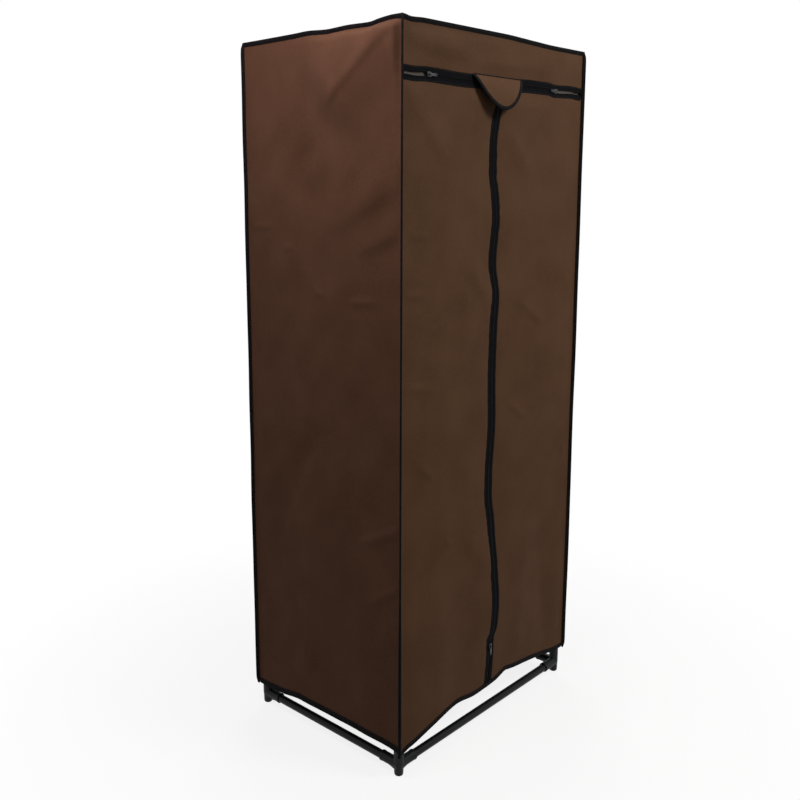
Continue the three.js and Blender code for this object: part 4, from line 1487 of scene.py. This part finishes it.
@dataclass
class Header:
    """The strip of cloth above the zips, with its half of the upper zips."""

    seams: Seams
    zips: ZipLines
    # How far the stretched cloth still swells out, and the length of its waves.
    swell: float = 1.6
    wave: float = 170
    seed: int = 61
    cell: float = 4.5
    rows: int = 22
    # How far its zip tape ends short of the corner, and its coil short of the tape.
    tape_short: float = 1.6
    coil_short: float = 3
    folds: Sequence[Crease] = (Crease((-290, 1560), (-120, 1552), 3.2, 22, 18),
                               Crease((-60, 1530), (210, 1560), 1.6, 26, 20))

    def lift(self, along: Array, height: Array) -> Array:
        """How far the header's cloth stands out of the front.

        Args:
            along: places across it.
            height: places up it.

        Returns:
            The distance at each place.
        """
        edge = self.seams.half_width - np.abs(along)
        below = self.seams.top(Wall.FRONT, along) - height
        above = height - self.zips.level(along) - self.zips.band
        held = smooth(0, 30, edge) * smooth(0, 22, below) * smooth(0, 30, above)
        slack = self.swell + self.swell * ripple(along, height * 1.4, self.wave, self.seed)
        slack = sum((fold.height(along, height) for fold in self.folds), slack)
        pucker = 0.3 * np.sin(along / 3.9 + 2 * np.sin(along / 43)) * np.exp(-above / 7)
        return np.maximum(slack * held, -0.8) + pucker * smooth(2, 8, above)

    def build(self) -> None:
        seams, zips = self.seams, self.zips
        bend = seams.half_width - seams.lip_bend
        along, lips = seams.lipped(Wall.FRONT, evened((-bend, bend, self.cell)))
        low, high = zips.level(along) + zips.band - TUCK, seams.top(Wall.FRONT, along) - TOP_LAP
        height = low + (high - low) * np.linspace(0, 1, self.rows)[:, None]
        out = np.where(lips > 0, lips, self.lift(along, height) + tucked(height - low))
        sheet = seams.sheet("header_cloth", Wall.FRONT, along, out, height)
        place(sheet, CLOTH, Body.FRAME, "header_panel")

        end = seams.half_width - self.tape_short
        left, right = zips.upper_sliders
        step, span = zips.close_step, zips.close_span
        along = evened((-end, end, 5), (left - span, left, step), (right, right + span, step))
        inner = zips.upper_edge(along)
        share = np.linspace(0, 1, 6)[:, None]
        height = zips.level(along) + inner + (zips.band - inner) * share
        out = 0.35 + 0.2 * np.sin(along / 5.1) * share * smooth(8, 20, end - np.abs(along))
        out = out * share * smooth(zips.under_flap, zips.under_flap + 20, np.abs(along))
        tape = seams.sheet("header_zip_tape", Wall.FRONT, along, out, height)
        place(tape, ZIP_TAPE, Body.FRAME, "zip_half_header")

        def line(along: Array, off: Array | float, stand: float) -> Array:
            """Points above the upper zips' line, a little way out of the front."""
            return seams.point(Wall.FRONT, along, stand, zips.level(along) + off)

        stop, closed, opened = zips.parking, zips.closed_from, zips.open_from
        room, (mouth, throat), last = stop - zips.loop_gap, zips.channel, end - self.coil_short
        rows = {
            "zip_coil": (Teeth.CLOSED, [(left + closed, -stop), (stop, right - closed)]),
            "zip_coil_at_stops": (Teeth.AT_STOPS, [
                (-room, room), (left - mouth, left + throat), (right - throat, right + mouth)]),
            "open_coil": (Teeth.OPEN, [(-last, left - opened), (right + opened, last)]),
        }
        made = [teeth.row(f"header_{word}", spans, zips.upper_edge, line, (0, 0, 1))
                for word, (teeth, spans) in rows.items()]
        coils = [place(coil, COIL, Body.FRAME) for coil in made]
        at = evened((-end, end, 6))
        seam = [line(at, zips.band - drop, ZIP_STAND) for drop in ZIP_ROWS]
        thread = sewn("header_zip_stitches", seam, Body.FRAME)
        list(self.facings())

    def facings(self) -> list[Object]:
        """Makes the strips sewn behind the open ends of the upper zips.

        Returns:
            The two strips.
        """
        made = []
        off, out = self.zips.facing()
        for side, slider in zip(Side, self.zips.upper_sliders):
            x = side.value * evened((abs(slider) - 9, self.zips.last_loop, 6))
            strip = self.seams.sheet(f"header_zip_facing_{side.word}", Wall.FRONT, x, out[:, None],
                                     self.zips.level(x) + off[:, None], thickness=FACING_THICK)
            made.append(place(strip, FACING, Body.FRAME))
        return made


@dataclass
class Door:
    """One leaf of the front: its cloth, hem tape and zip tapes."""

    seams: Seams
    zips: ZipLines
    side: Side
    creases: Sequence[Crease]
    seed: int
    cell: float = 5.5
    # How far from the middle the cloth is to start to turn with the door, and to turn with it
    # fully; place takes these but makes no turn.
    bend: tuple[float, float] = (325.6, 315.0)
    hem_width: float = 12
    # How far from the middle the cloth starts, behind the zip's tape.
    inner: float = 12.4
    # How far the slack cloth billows out, and the length of its billows and of its small waves.
    billow: float = 2.2
    wave: float = 300
    small_wave: float = 80
    # How far from its corner seam the cloth hangs free.
    free_beside: float = 45
    # How far into the leaf the swaying zip pulls the cloth out, and carries it across.
    pulled: float = 75
    carried: tuple[float, float] = (10, 260)
    # The usual height of the leaf, for which its rows are spread.
    tall: float = 1400
    # Where the foot of the zip is taken, and from and to where the hem is sewn, off the middle.
    beside_zip: float = 8.0
    hem_sewn: tuple[float, float] = (8, 305)
    # How high the stitches of the upright tape start.
    sewn_from: float = 110

    @property
    def sign(self) -> int:
        """The sign of X on the door's side."""
        return self.side.value

    @property
    def word(self) -> str:
        """The name of the door's side."""
        return self.side.word

    @property
    def body(self) -> Body:
        """The body that the door moves with."""
        return self.side.door

    @property
    def over(self) -> tuple[float, float]:
        """Along X, where the cloth is to start to turn with the door and to turn fully; nothing
        turns it.
        """
        return self.sign * self.bend[0], self.sign * self.bend[1]

    def lift(self, along: Array, height: Array) -> Array:
        """How far the door's cloth stands out of the front, also beside the swaying zip.

        Args:
            along: places across it.
            height: places up it.

        Returns:
            The distance at each place.
        """
        edge = self.seams.half_width - np.abs(along)
        inner = np.abs(along) - self.zips.band
        below = self.zips.level(along) - self.zips.band - height
        held = smooth(0, self.free_beside, edge) * smooth(0, 30, below)
        held = held * (0.25 + 0.75 * smooth(0, 60, inner))
        slack = self.billow * (0.7 + ripple(along, height * 0.55, self.wave, self.seed))
        slack = slack + 0.6 * ripple(along, height, self.small_wave, self.seed + 1)
        free = sum((c.height(along, height) for c in self.creases), slack * held)
        pull = self.zips.out(height) * np.exp(-np.maximum(inner, 0) / self.pulled)
        near = smooth(0, 16, edge) * smooth(-2, 14, below)
        pucker = 0.35 * np.sin(height / 4.3 + 2 * np.sin(height / 39)) * np.exp(-np.abs(inner) / 9)
        pucker = pucker + 0.3 * np.sin(height / 3.7) * np.exp(-edge / 9) * smooth(2, 6, edge)
        room = -1.0 - 8 * smooth(34, 70, edge)
        return np.maximum((free + pull) * near, room) + pucker * smooth(0, 20, below)

    def moved(self, along: Array, height: Array) -> Array:
        """Places across the door, carried along by the sway of the zip."""
        return along + self.zips.across(height) * (1 - smooth(*self.carried, np.abs(along)))

    def build(self) -> None:
        seams, zips = self.seams, self.zips
        bend, tip = seams.half_width - seams.lip_bend, seams.lip
        across = np.concatenate([[bend + tip, bend + tip / 2], evened((bend, bend - 12, 1.2))[::-1],
                                 evened((self.inner, bend - 17, self.cell))[::-1]])
        lips = np.maximum(across - bend, 0)
        along = self.sign * across
        low = seams.hem(Wall.FRONT, along) + HEM_LAP
        high = zips.level(along) - zips.band + TUCK
        rows = np.linspace(12 / self.tall, 1, round(self.tall / self.cell))
        share = np.concatenate([np.array([0, 3, 7]) / self.tall, rows])
        height = low + (high - low) * share[:, None]
        depth = np.minimum(np.abs(along) - self.inner, high - height)
        out = self.lift(along, height) + tucked(depth) * smooth(0, 10, bend - across)
        sheet = seams.sheet(f"door_{self.word}_cloth", Wall.FRONT, self.moved(along, height),
                            np.where(lips > 0, lips, out), height, flat=along)
        place(sheet, CLOTH, self.body, f"door_{self.word}_panel", bend=self.over)
        parts = [self.hem(), *self.tapes(), *self.teeth(), self.stitches()]
        if self.side is Side.LEFT:
            parts.append(self.facing())
        corners = [f"corner_tape_{end}_{self.word}" for end in (Wall.FRONT, Wall.BACK)]

    def on_front(self, along: Array, height: Array, stand: float, rise: float = 0) -> Array:
        """Points that stand out from the door's cloth at a height, or a rise above it."""
        out = self.lift(along, height) + stand
        return self.seams.point(Wall.FRONT, self.moved(along, height), out, height + rise)

    def hem(self) -> Object:
        """Makes the folded tape along the door's lower edge.

        Returns:
            The tape.
        """
        along = self.sign * evened((1.0, 318, 7), (300, self.zips.tape_end, 1.5))
        path = self.on_front(along, self.seams.hem(Wall.FRONT, along) + self.hem_width, 0)
        tape = hem_tape(f"door_{self.word}_hem_tape", path, self.seams.outward(Wall.FRONT),
                        self.hem_width)
        return place(tape, TAPE, self.body, f"hem_binding_door_{self.word}", bend=self.over)

    def tapes(self) -> list[Object]:
        """Makes the upright zip tape by the middle and the level one along the top.

        Returns:
            The two tapes.
        """
        seams, zips = self.seams, self.zips
        foot = float(seams.hem(Wall.FRONT, self.sign * self.beside_zip)) + 1.4
        slider, top = zips.centre_slider, zips.height - zips.edge
        step, span = zips.close_step, zips.close_span
        height = evened((foot, top, 5), (slider - span, slider, step))[:, None]
        inner = zips.middle_edge(height)
        share = np.linspace(0, 1, 6)
        off = inner + (zips.band - inner) * share
        free = 1 - smooth(top - zips.parking - 20, top - zips.parking, height)
        out = zips.out(height) + share * free * (0.35 + 0.15 * np.sin(height / 6.3))
        upright = seams.sheet(f"zip_tape_{self.word}_middle", Wall.FRONT,
                              zips.across(height) + self.sign * off, out, height, flat=off)
        place(upright, ZIP_TAPE, self.body, f"zip_half_{self.word}")
        reach = self.reach()
        along = self.sign * evened((zips.band + 0.4, zips.tape_end, 5), (reach, reach + span, step))
        along = along[:, None]
        inner = zips.upper_edge(along)
        out = (0.35 + 0.12 * np.sin(along / 5.3)) * share
        out = out * smooth(zips.parking, zips.parking + 20, np.abs(along))
        level = seams.sheet(f"zip_tape_{self.word}_top", Wall.FRONT, along, out,
                            zips.level(along) - inner - (zips.band - inner) * share)
        return [upright, place(level, ZIP_TAPE, self.body, bend=self.over)]

    def reach(self) -> float:
        """How far from the middle the upper slider on this side rests."""
        return abs(self.zips.upper_sliders[0 if self.side is Side.LEFT else 1])

    def beside(self, height: Array, off: Array | float, stand: float) -> Array:
        """Points beside the middle zip's line.

        Args:
            height: how high each point lies.
            off: how far off the line it lies.
            stand: how far out of the zip it stands.

        Returns:
            The points.
        """
        zips = self.zips
        along = zips.across(height) + self.sign * off
        return self.seams.point(Wall.FRONT, along, zips.out(height) + stand, height)

    def below(self, along: Array, off: Array | float, stand: float) -> Array:
        """Points below the upper zip's line, from places counted from the middle."""
        along = self.sign * along
        return self.seams.point(Wall.FRONT, along, stand, self.zips.level(along) - off)

    def upper_edge(self, along: Array) -> Array:
        """How far off its line the upper tape's edge lies, at places counted from the middle."""
        return self.zips.upper_edge(self.sign * along)

    def teeth(self) -> list[Object]:
        """Makes the coils of the middle zip and of the upper zip on this side.

        Returns:
            The rows of loops.
        """
        zips, reach, slider = self.zips, self.reach(), self.zips.centre_slider
        shift = COILS.pitch / 2 if self.side is Side.RIGHT else 0
        stop, head = zips.height - zips.parking, zips.height - 4
        foot = float(self.seams.hem(Wall.FRONT, self.sign * self.beside_zip)) + 4
        closed, opened, (mouth, throat) = zips.closed_from, zips.open_from, zips.channel
        gap = zips.loop_gap
        middle = (zips.middle_edge, self.beside, (1, 0, 0))
        upper = (self.upper_edge, self.below, (0, 0, 1))
        rows = {
            "middle": (Teeth.CLOSED, [(slider + closed + shift, stop)], middle),
            "middle_at_stops": (Teeth.AT_STOPS, [
                (stop + gap, head), (slider - mouth, slider + throat)], middle),
            "middle_open": (Teeth.OPEN, [(foot, slider - opened)], middle),
            "top": (Teeth.CLOSED, [(zips.parking, reach - closed)], upper),
            "top_at_stops": (Teeth.AT_STOPS, [
                (5.4, zips.parking - gap), (reach - throat, reach + mouth)], upper),
            "top_open": (Teeth.OPEN, [(reach + opened, zips.last_loop)], upper),
        }
        return [place(teeth.row(f"zip_coil_{self.word}_{row}", spans, *where), COIL, self.body)
                for row, (teeth, spans, where) in rows.items()]

    def facing(self) -> Object:
        """Makes the strip sewn to this door behind the open foot of the middle zip.

        Returns:
            The strip.
        """
        off, out = self.zips.facing()
        foot = float(self.seams.hem(Wall.FRONT, 0.0)) + 0.6
        height = evened((foot, self.zips.centre_slider + 9, 6))[:, None]
        across = self.zips.across(height) + self.sign * off
        strip = self.seams.sheet("door_left_zip_facing", Wall.FRONT, across,
                                 self.zips.out(height) + out, height, thickness=FACING_THICK)
        return place(strip, FACING, self.body)

    def stitches(self) -> Object:
        """Makes the rows that sew the tapes to the door, and its hem.

        Returns:
            All the rows, as one piece.
        """
        zips = self.zips
        up = evened((self.sewn_from, zips.height - zips.band, 6))
        level = evened((zips.band, zips.last_stitch, 6))
        rows = [self.beside(up, zips.band - d, ZIP_STAND) for d in ZIP_ROWS]
        rows += [self.below(level, zips.band - d, ZIP_STAND) for d in ZIP_ROWS]
        along = self.sign * evened((*self.hem_sewn, 6))
        edge = self.seams.hem(Wall.FRONT, along) + self.hem_width
        rows += [self.on_front(along, edge, stand, -HEM_SEWN) for stand in (-HEM_STAND, HEM_STAND)]
        return sewn(f"door_{self.word}_stitches", rows, self.body)


@dataclass
class Flap:
    """The rounded flap that hangs over the meeting point of the zips."""

    seams: Seams
    width: float = 184
    drop: float = 71
    # The slack cloth carries the flap a little to the left of the middle.
    shift: float = -17
    stand_off: float = 24
    curl: float = 38
    power: float = 2.0
    side_share: float = 0.97
    tape_width: float = 8
    tape_outer: float = 1.5
    root: float = 1511.4
    root_out: float = 1.4
    # How far down the tape at the root reaches, and the share of the flap's width that it has.
    root_tape: float = 2.5
    root_share: float = 0.93
    # How deep the slack flap is dented, and how wide a dent is over two pi.
    dent: float = 1.3
    dent_pitch: float = 31
    # The least share of its thickness that the tape keeps where it runs into the root.
    pinched: float = 0.4

    def edge_drop(self, across: Array) -> Array:
        """How far down the flap's edge lies."""
        return self.drop * (1 - np.abs(across / (self.width / 2)) ** self.power)

    def spot(self, across: Array, drop: Array) -> Array:
        """Points on the curved flap.

        Args:
            across: how far to the right of the flap's middle each lies.
            drop: how far down the flap it lies.

        Returns:
            The points.
        """
        out = self.root_out + self.stand_off * (1 - np.exp(-drop / self.curl))
        dent = self.dent * np.sin(across / self.dent_pitch + 0.8) * smooth(8, 45, drop)
        return self.seams.point(Wall.FRONT, across + self.shift, out + dent, self.root - drop)

    def facing(self, drop: Array) -> Array:
        """The way the flap's cloth faces.

        Args:
            drop: how far down the flap each place lies.

        Returns:
            One vector for each place.
        """
        slope = (self.stand_off / self.curl) * np.exp(-drop / self.curl)
        way = np.stack(np.broadcast_arrays(0 * slope, -1 + 0 * slope, slope), axis=-1)
        return way / np.linalg.norm(way, axis=-1, keepdims=True)

    def build(self) -> None:
        half = self.width / 2
        across = half * self.side_share * np.sin(np.linspace(-math.pi / 2, math.pi / 2, 65))
        share = (np.linspace(0, 1, 34) ** 1.5)[:, None]
        inside = 1 - 2.2 / self.drop
        rim = self.edge_drop(across)
        drop = rim * inside * share
        grid = across * inside + 0 * drop
        flat = np.stack([grid, -drop], axis=-1)
        sheet = cloth("flap_cloth", self.spot(grid, drop), self.facing(drop), flat)
        place(sheet, CLOTH, Body.FLAP, "flap_panel")

        section = folded_section(0.7, self.tape_outer, 0, self.tape_width, 6)
        lean = self.drop * self.power * np.abs(across / half) ** (self.power - 1) / half
        length = np.hypot(lean, 1)
        pinch = self.pinched + (1 - self.pinched) * smooth(2, 16, rim)

        def inset(depth: Array) -> tuple[Array, Array]:
            """Places in from the flap's rim.

            Args:
                depth: how far in from the rim each lies.

            Returns:
                How far across and how far down the flap they lie.
            """
            far = depth / length[:, None]
            return (across[:, None] - np.sign(across)[:, None] * lean[:, None] * far,
                    np.maximum(0.0, rim[:, None] - far))

        x, low = inset(self.tape_width - section[None, :, 1])
        points = self.spot(x, low) + self.facing(low) * section[None, :, :1] * pinch[:, None, None]
        run = np.concatenate([[0], np.cumsum(np.hypot(np.diff(across), np.diff(rim)))])
        tape = place(loft("flap_edge_tape", points, run), TAPE, Body.FLAP, "flap_binding")
        reach = half * self.root_share
        x, d = np.meshgrid(np.linspace(-reach, reach, 48), np.linspace(0, self.root_tape, 9))
        held = np.minimum(d, self.edge_drop(x) * 0.98)
        middle = self.spot(x, held) + self.facing(held) * 0.6
        strip = cloth("flap_root_tape", middle, self.facing(held), np.stack([x, d], axis=-1), 0.4)
        place(strip, TAPE, Body.FLAP)
        x, low = inset(np.full((1, 1), self.tape_width - HEM_SEWN))
        raised = (pinch * self.tape_outer + 0.05)[:, None, None]
        seam = (self.spot(x, low) + self.facing(low) * raised)[2:-2, 0]
        thread = sewn("flap_stitches", [seam], Body.FLAP)


# Frame and fittings


@dataclass
class TubeFrame:
    """The push-fit frame: tubes drawn along their CAD lines and moulded connectors."""

    tube: RoundTube = RoundTube()
    post_joint: float = 790
    bevel: float = 0.5

    def build(self) -> None:
        """Makes every tube and then every connector, each where its node lies."""
        nodes = sorted(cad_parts)
        moulded = [node for node in nodes if "connector" in node or "socket" in node]
        for node in nodes:
            tube = node.startswith(("post_", "top_rail_", "bottom_rail_", "hanging_"))
            if tube and node not in moulded:
                self.draw(node)
        for node in moulded:
            eased(node, PLASTIC, Body.FRAME, self.bevel)

    def draw(self, name: str) -> None:
        """Draws the tube that stands for a node.

        Args:
            name: the CAD node.
        """
        low, high = (np.array(corner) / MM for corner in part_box(name))
        axis = int(np.argmax(high - low))
        start = (low + high) / 2
        end = start.copy()
        start[axis], end[axis] = low[axis], high[axis]
        if name.endswith("_lower"):
            end[axis] = self.post_joint
        path = start + (end - start) * np.linspace(0, 1, 9)[:, None]
        piece = self.tube.along(f"tube_{name}", [path])
        settle(piece.data)
        place(piece, STEEL, Body.FRAME, name)


def eased(node: str, finish: Finish, body: str, width: float) -> Object:
    """A rigid node's own shape with its edges rounded.

    Args:
        node: the CAD node.
        finish: its surface.
        body: the body that it moves with.
        width: how far each edge is rounded.

    Returns:
        The piece that stands for the node.
    """
    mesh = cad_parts[node].data.copy()
    work = bmesh.new()
    work.from_mesh(mesh)
    bmesh.ops.remove_doubles(work, verts=work.verts, dist=1e-5)
    bmesh.ops.dissolve_limit(work, angle_limit=math.radians(1), verts=work.verts, edges=work.edges)
    work.to_mesh(mesh)
    work.free()
    holder = link(f"eased_{node}", mesh)
    edge = holder.modifiers.new("edge", "BEVEL")
    edge.width, edge.segments, edge.limit_method = width * MM, 2, "ANGLE"
    edge.angle_limit, edge.use_clamp_overlap = math.radians(38), True
    made = applied(holder, f"{node}_eased")
    settle(made, 30)
    return place(link(f"{node}_eased", made), finish, body, node)


@dataclass
class Sliders:
    """The three sliders and their pulls."""

    bevel: float = 0.22

    def build(self) -> None:
        """Rounds each slider and pull."""
        for which, kind in product(("centre", "left", "right"), ("slider", "pull")):
            eased(f"zip_{kind}_{which}", METAL, f"{kind}_{which}", self.bevel)


# Studio


@dataclass
class Lamp:
    """One soft lamp of the studio, in metres and watts."""

    name: str
    place: tuple[float, float, float]
    aim: tuple[float, float, float]
    size: float
    power: float
    colour: str = "#ffffff"

    def hang(self) -> None:
        """Hangs the lamp."""
        light = bpy.data.lights.new(self.name, "AREA")
        light.shape, light.energy = "RECTANGLE", self.power
        light.size = light.size_y = self.size
        light.color = linear(self.colour)[:3]
        lamp = bpy.data.objects.new(self.name, light)
        lamp.location = self.place
        way = Vector(self.aim) - Vector(self.place)
        lamp.rotation_euler = way.to_track_quat("-Z", "Y").to_euler()
        bpy.context.scene.collection.objects.link(lamp)


@dataclass
class Studio:
    """The floor, the lamps, the white round about and the camera, in metres and degrees."""

    yaw: float = 47.06
    pitch: float = 10.0
    camera_place: tuple[float, float, float] = (-1.711, -1.461, 1.278)
    lens: float = 42.1
    shift: tuple[float, float] = (0.025, -0.06)
    ambient: float = 0.125
    # Wide enough that no view sees the floor's end.
    floor_half: float = 40.0
    lamps: Sequence[Lamp] = (
        Lamp("key", (0.8, -2.55, 3.1), (0, 0, 1.1), 0.9, 61, "#fcfff8"),
        Lamp("upper_left", (-0.93, -0.12, 2.3), (-0.325, -0.18, 1.45), 0.5, 15.5, "#ffeffa"),
        Lamp("back", (2.4, 2.2, 2.6), (0, 0, 0.9), 2.0, 54),
    )

    def floor(self) -> None:
        """The plain floor."""
        mesh = bpy.data.meshes.new("studio_floor")
        corners = [(x * self.floor_half, y * self.floor_half, 0)
                   for x, y in ((-1, -1), (1, -1), (1, 1), (-1, 1))]
        mesh.from_pydata(corners, [], [(0, 1, 2, 3)])
        piece = link("studio_floor", mesh)
        piece.data.materials.append(StudioPaper("white_studio_paper").material())

    def surround(self) -> None:
        """White for what the camera and gloss see, and a dim even light for the rest."""
        world = bpy.data.worlds.new("studio_white")
        world.use_nodes = True
        world.node_tree.nodes.clear()
        node = partial(add_node, world.node_tree)
        dim, white = (node("ShaderNodeBackground", {"Color": (1, 1, 1, 1), "Strength": strength})
                      for strength in (self.ambient, 1.0))
        mix = node("ShaderNodeMixShader", {0: seen_directly(node), 1: dim, 2: white})
        node("ShaderNodeOutputWorld", {"Surface": mix})
        bpy.context.scene.world = world

    def camera(self) -> None:
        """The camera, as the photograph was taken."""
        data = bpy.data.cameras.new("camera")
        data.lens, data.sensor_width = self.lens, 36
        data.shift_x, data.shift_y = self.shift
        data.clip_start, data.clip_end = 0.05, 100
        camera = bpy.data.objects.new("camera", data)
        camera.location = self.camera_place
        camera.rotation_euler = (math.radians(90 - self.pitch), 0, -math.radians(self.yaw))
        bpy.context.scene.collection.objects.link(camera)
        bpy.context.scene.camera = camera

    def build(self) -> None:
        """Sets up the studio."""
        self.floor()
        self.surround()
        for lamp in self.lamps:
            lamp.hang()
        self.camera()
        bpy.context.scene.view_settings.view_transform = "Standard"


# Folds seen in the hung cloth: across the wall, then up it.
LEFT_FOLDS = (
    Crease((-226, 1590), (-40, 1446), 19, 120, 80, 0.2),
    Crease((-222, 1588), (-50, 1454), 3.5, 18, 9, 0.2),
    Crease((-231, 1291), (-39, 1195), 5, 50, 26), Crease((-231, 1194), (-127, 1151), 4, 34, 18),
    Crease((33, 1370), (33, 1240), -4.5, 30, 30), Crease((213, 1190), (154, 1192), 1.6, 8, 8),
    Crease((111, 1146), (84, 1148), 1.6, 8, 8), Crease((9, 1058), (-14, 1048), 1.8, 7, 7),
    Crease((-97, 1041), (-163, 1046), 2, 9, 6), Crease((28, 719), (139, 496), -4.5, 38, 24),
    Crease((-124, 517), (-236, 572), 2.6, 12, 9), Crease((-154, 390), (-236, 444), 2.6, 12, 9),
    Crease((60, 120), (40, 330), 3.5, 45, 30), Crease((-140, 90), (-120, 300), 2.8, 35, 28),
)
RIGHT_FOLDS = (
    Crease((222, 1580), (60, 1430), 7, 26, 60), Crease((-190, 1480), (-60, 1310), 4, 40, 24),
    Crease((-90, 90), (-60, 420), 4, 40, 30), Crease((110, 80), (84, 360), 3.6, 40, 26),
    Crease((-210, 900), (-130, 860), 2, 12, 9), Crease((60, 720), (120, 640), 2.2, 14, 10),
)
BACK_FOLDS = (
    Crease((-305, 1570), (-150, 1390), 7, 60, 20), Crease((305, 1570), (140, 1410), 7, 24, 60),
    Crease((-80, 70), (-40, 620), 5, 60, 36), Crease((160, 70), (120, 480), 4.5, 44, 36),
    Crease((-240, 820), (-150, 760), 2.4, 14, 10), Crease((40, 1060), (150, 1010), 2.4, 16, 10),
)
LEFT_DOOR_FOLDS = (
    Crease((-92, 1110), (-30, 1026), 3.2, 34, 20), Crease((-96, 490), (-22, 400), 3.4, 34, 22),
    Crease((-293, 1180), (-247, 1178), 1.9, 8, 6), Crease((-318, 1062), (-261, 1057), 2, 9, 6),
    Crease((-303, 869), (-226, 857), 2, 9, 7), Crease((-263, 691), (-223, 666), 2.2, 10, 7),
    Crease((-176, 508), (-154, 494), 2.2, 9, 8), Crease((-210, 110), (-190, 420), 3, 46, 34),
    Crease((-295, 1450), (-180, 1330), 3, 40, 20),
)
RIGHT_DOOR_FOLDS = (
    Crease((200, 450), (250, 110), -5.5, 55, 40), Crease((299, 634), (292, 600), 2, 9, 8),
    Crease((40, 1400), (130, 1300), 3.2, 22, 34), Crease((90, 1020), (180, 960), 2.2, 16, 11),
    Crease((60, 780), (120, 740), 2, 12, 10), Crease((110, 120), (120, 380), 3, 40, 34),
)


def main() -> None:
    """Builds the wardrobe and its studio."""
    logging.basicConfig(level=logging.INFO, format="%(name)s: %(message)s")
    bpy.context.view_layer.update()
    low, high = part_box("zip_half_header")
    seams = Seams(setback=(low.y + high.y) / 2 / MM + Seams.half_depth)
    zips = ZipLines()
    for part in (
        Studio(), Roof(seams), CornerTapes(seams), Wallcloth(seams, Wall.LEFT, LEFT_FOLDS, 11),
        Wallcloth(seams, Wall.RIGHT, RIGHT_FOLDS, 23), Wallcloth(seams, Wall.BACK, BACK_FOLDS, 37),
        Header(seams, zips), Door(seams, zips, Side.LEFT, LEFT_DOOR_FOLDS, 51),
        Door(seams, zips, Side.RIGHT, RIGHT_DOOR_FOLDS, 77), Flap(seams), TubeFrame(), Sliders(),
    ):
        part.build()
    bpy.context.view_layer.update()


if __name__ == "__main__":
    main()
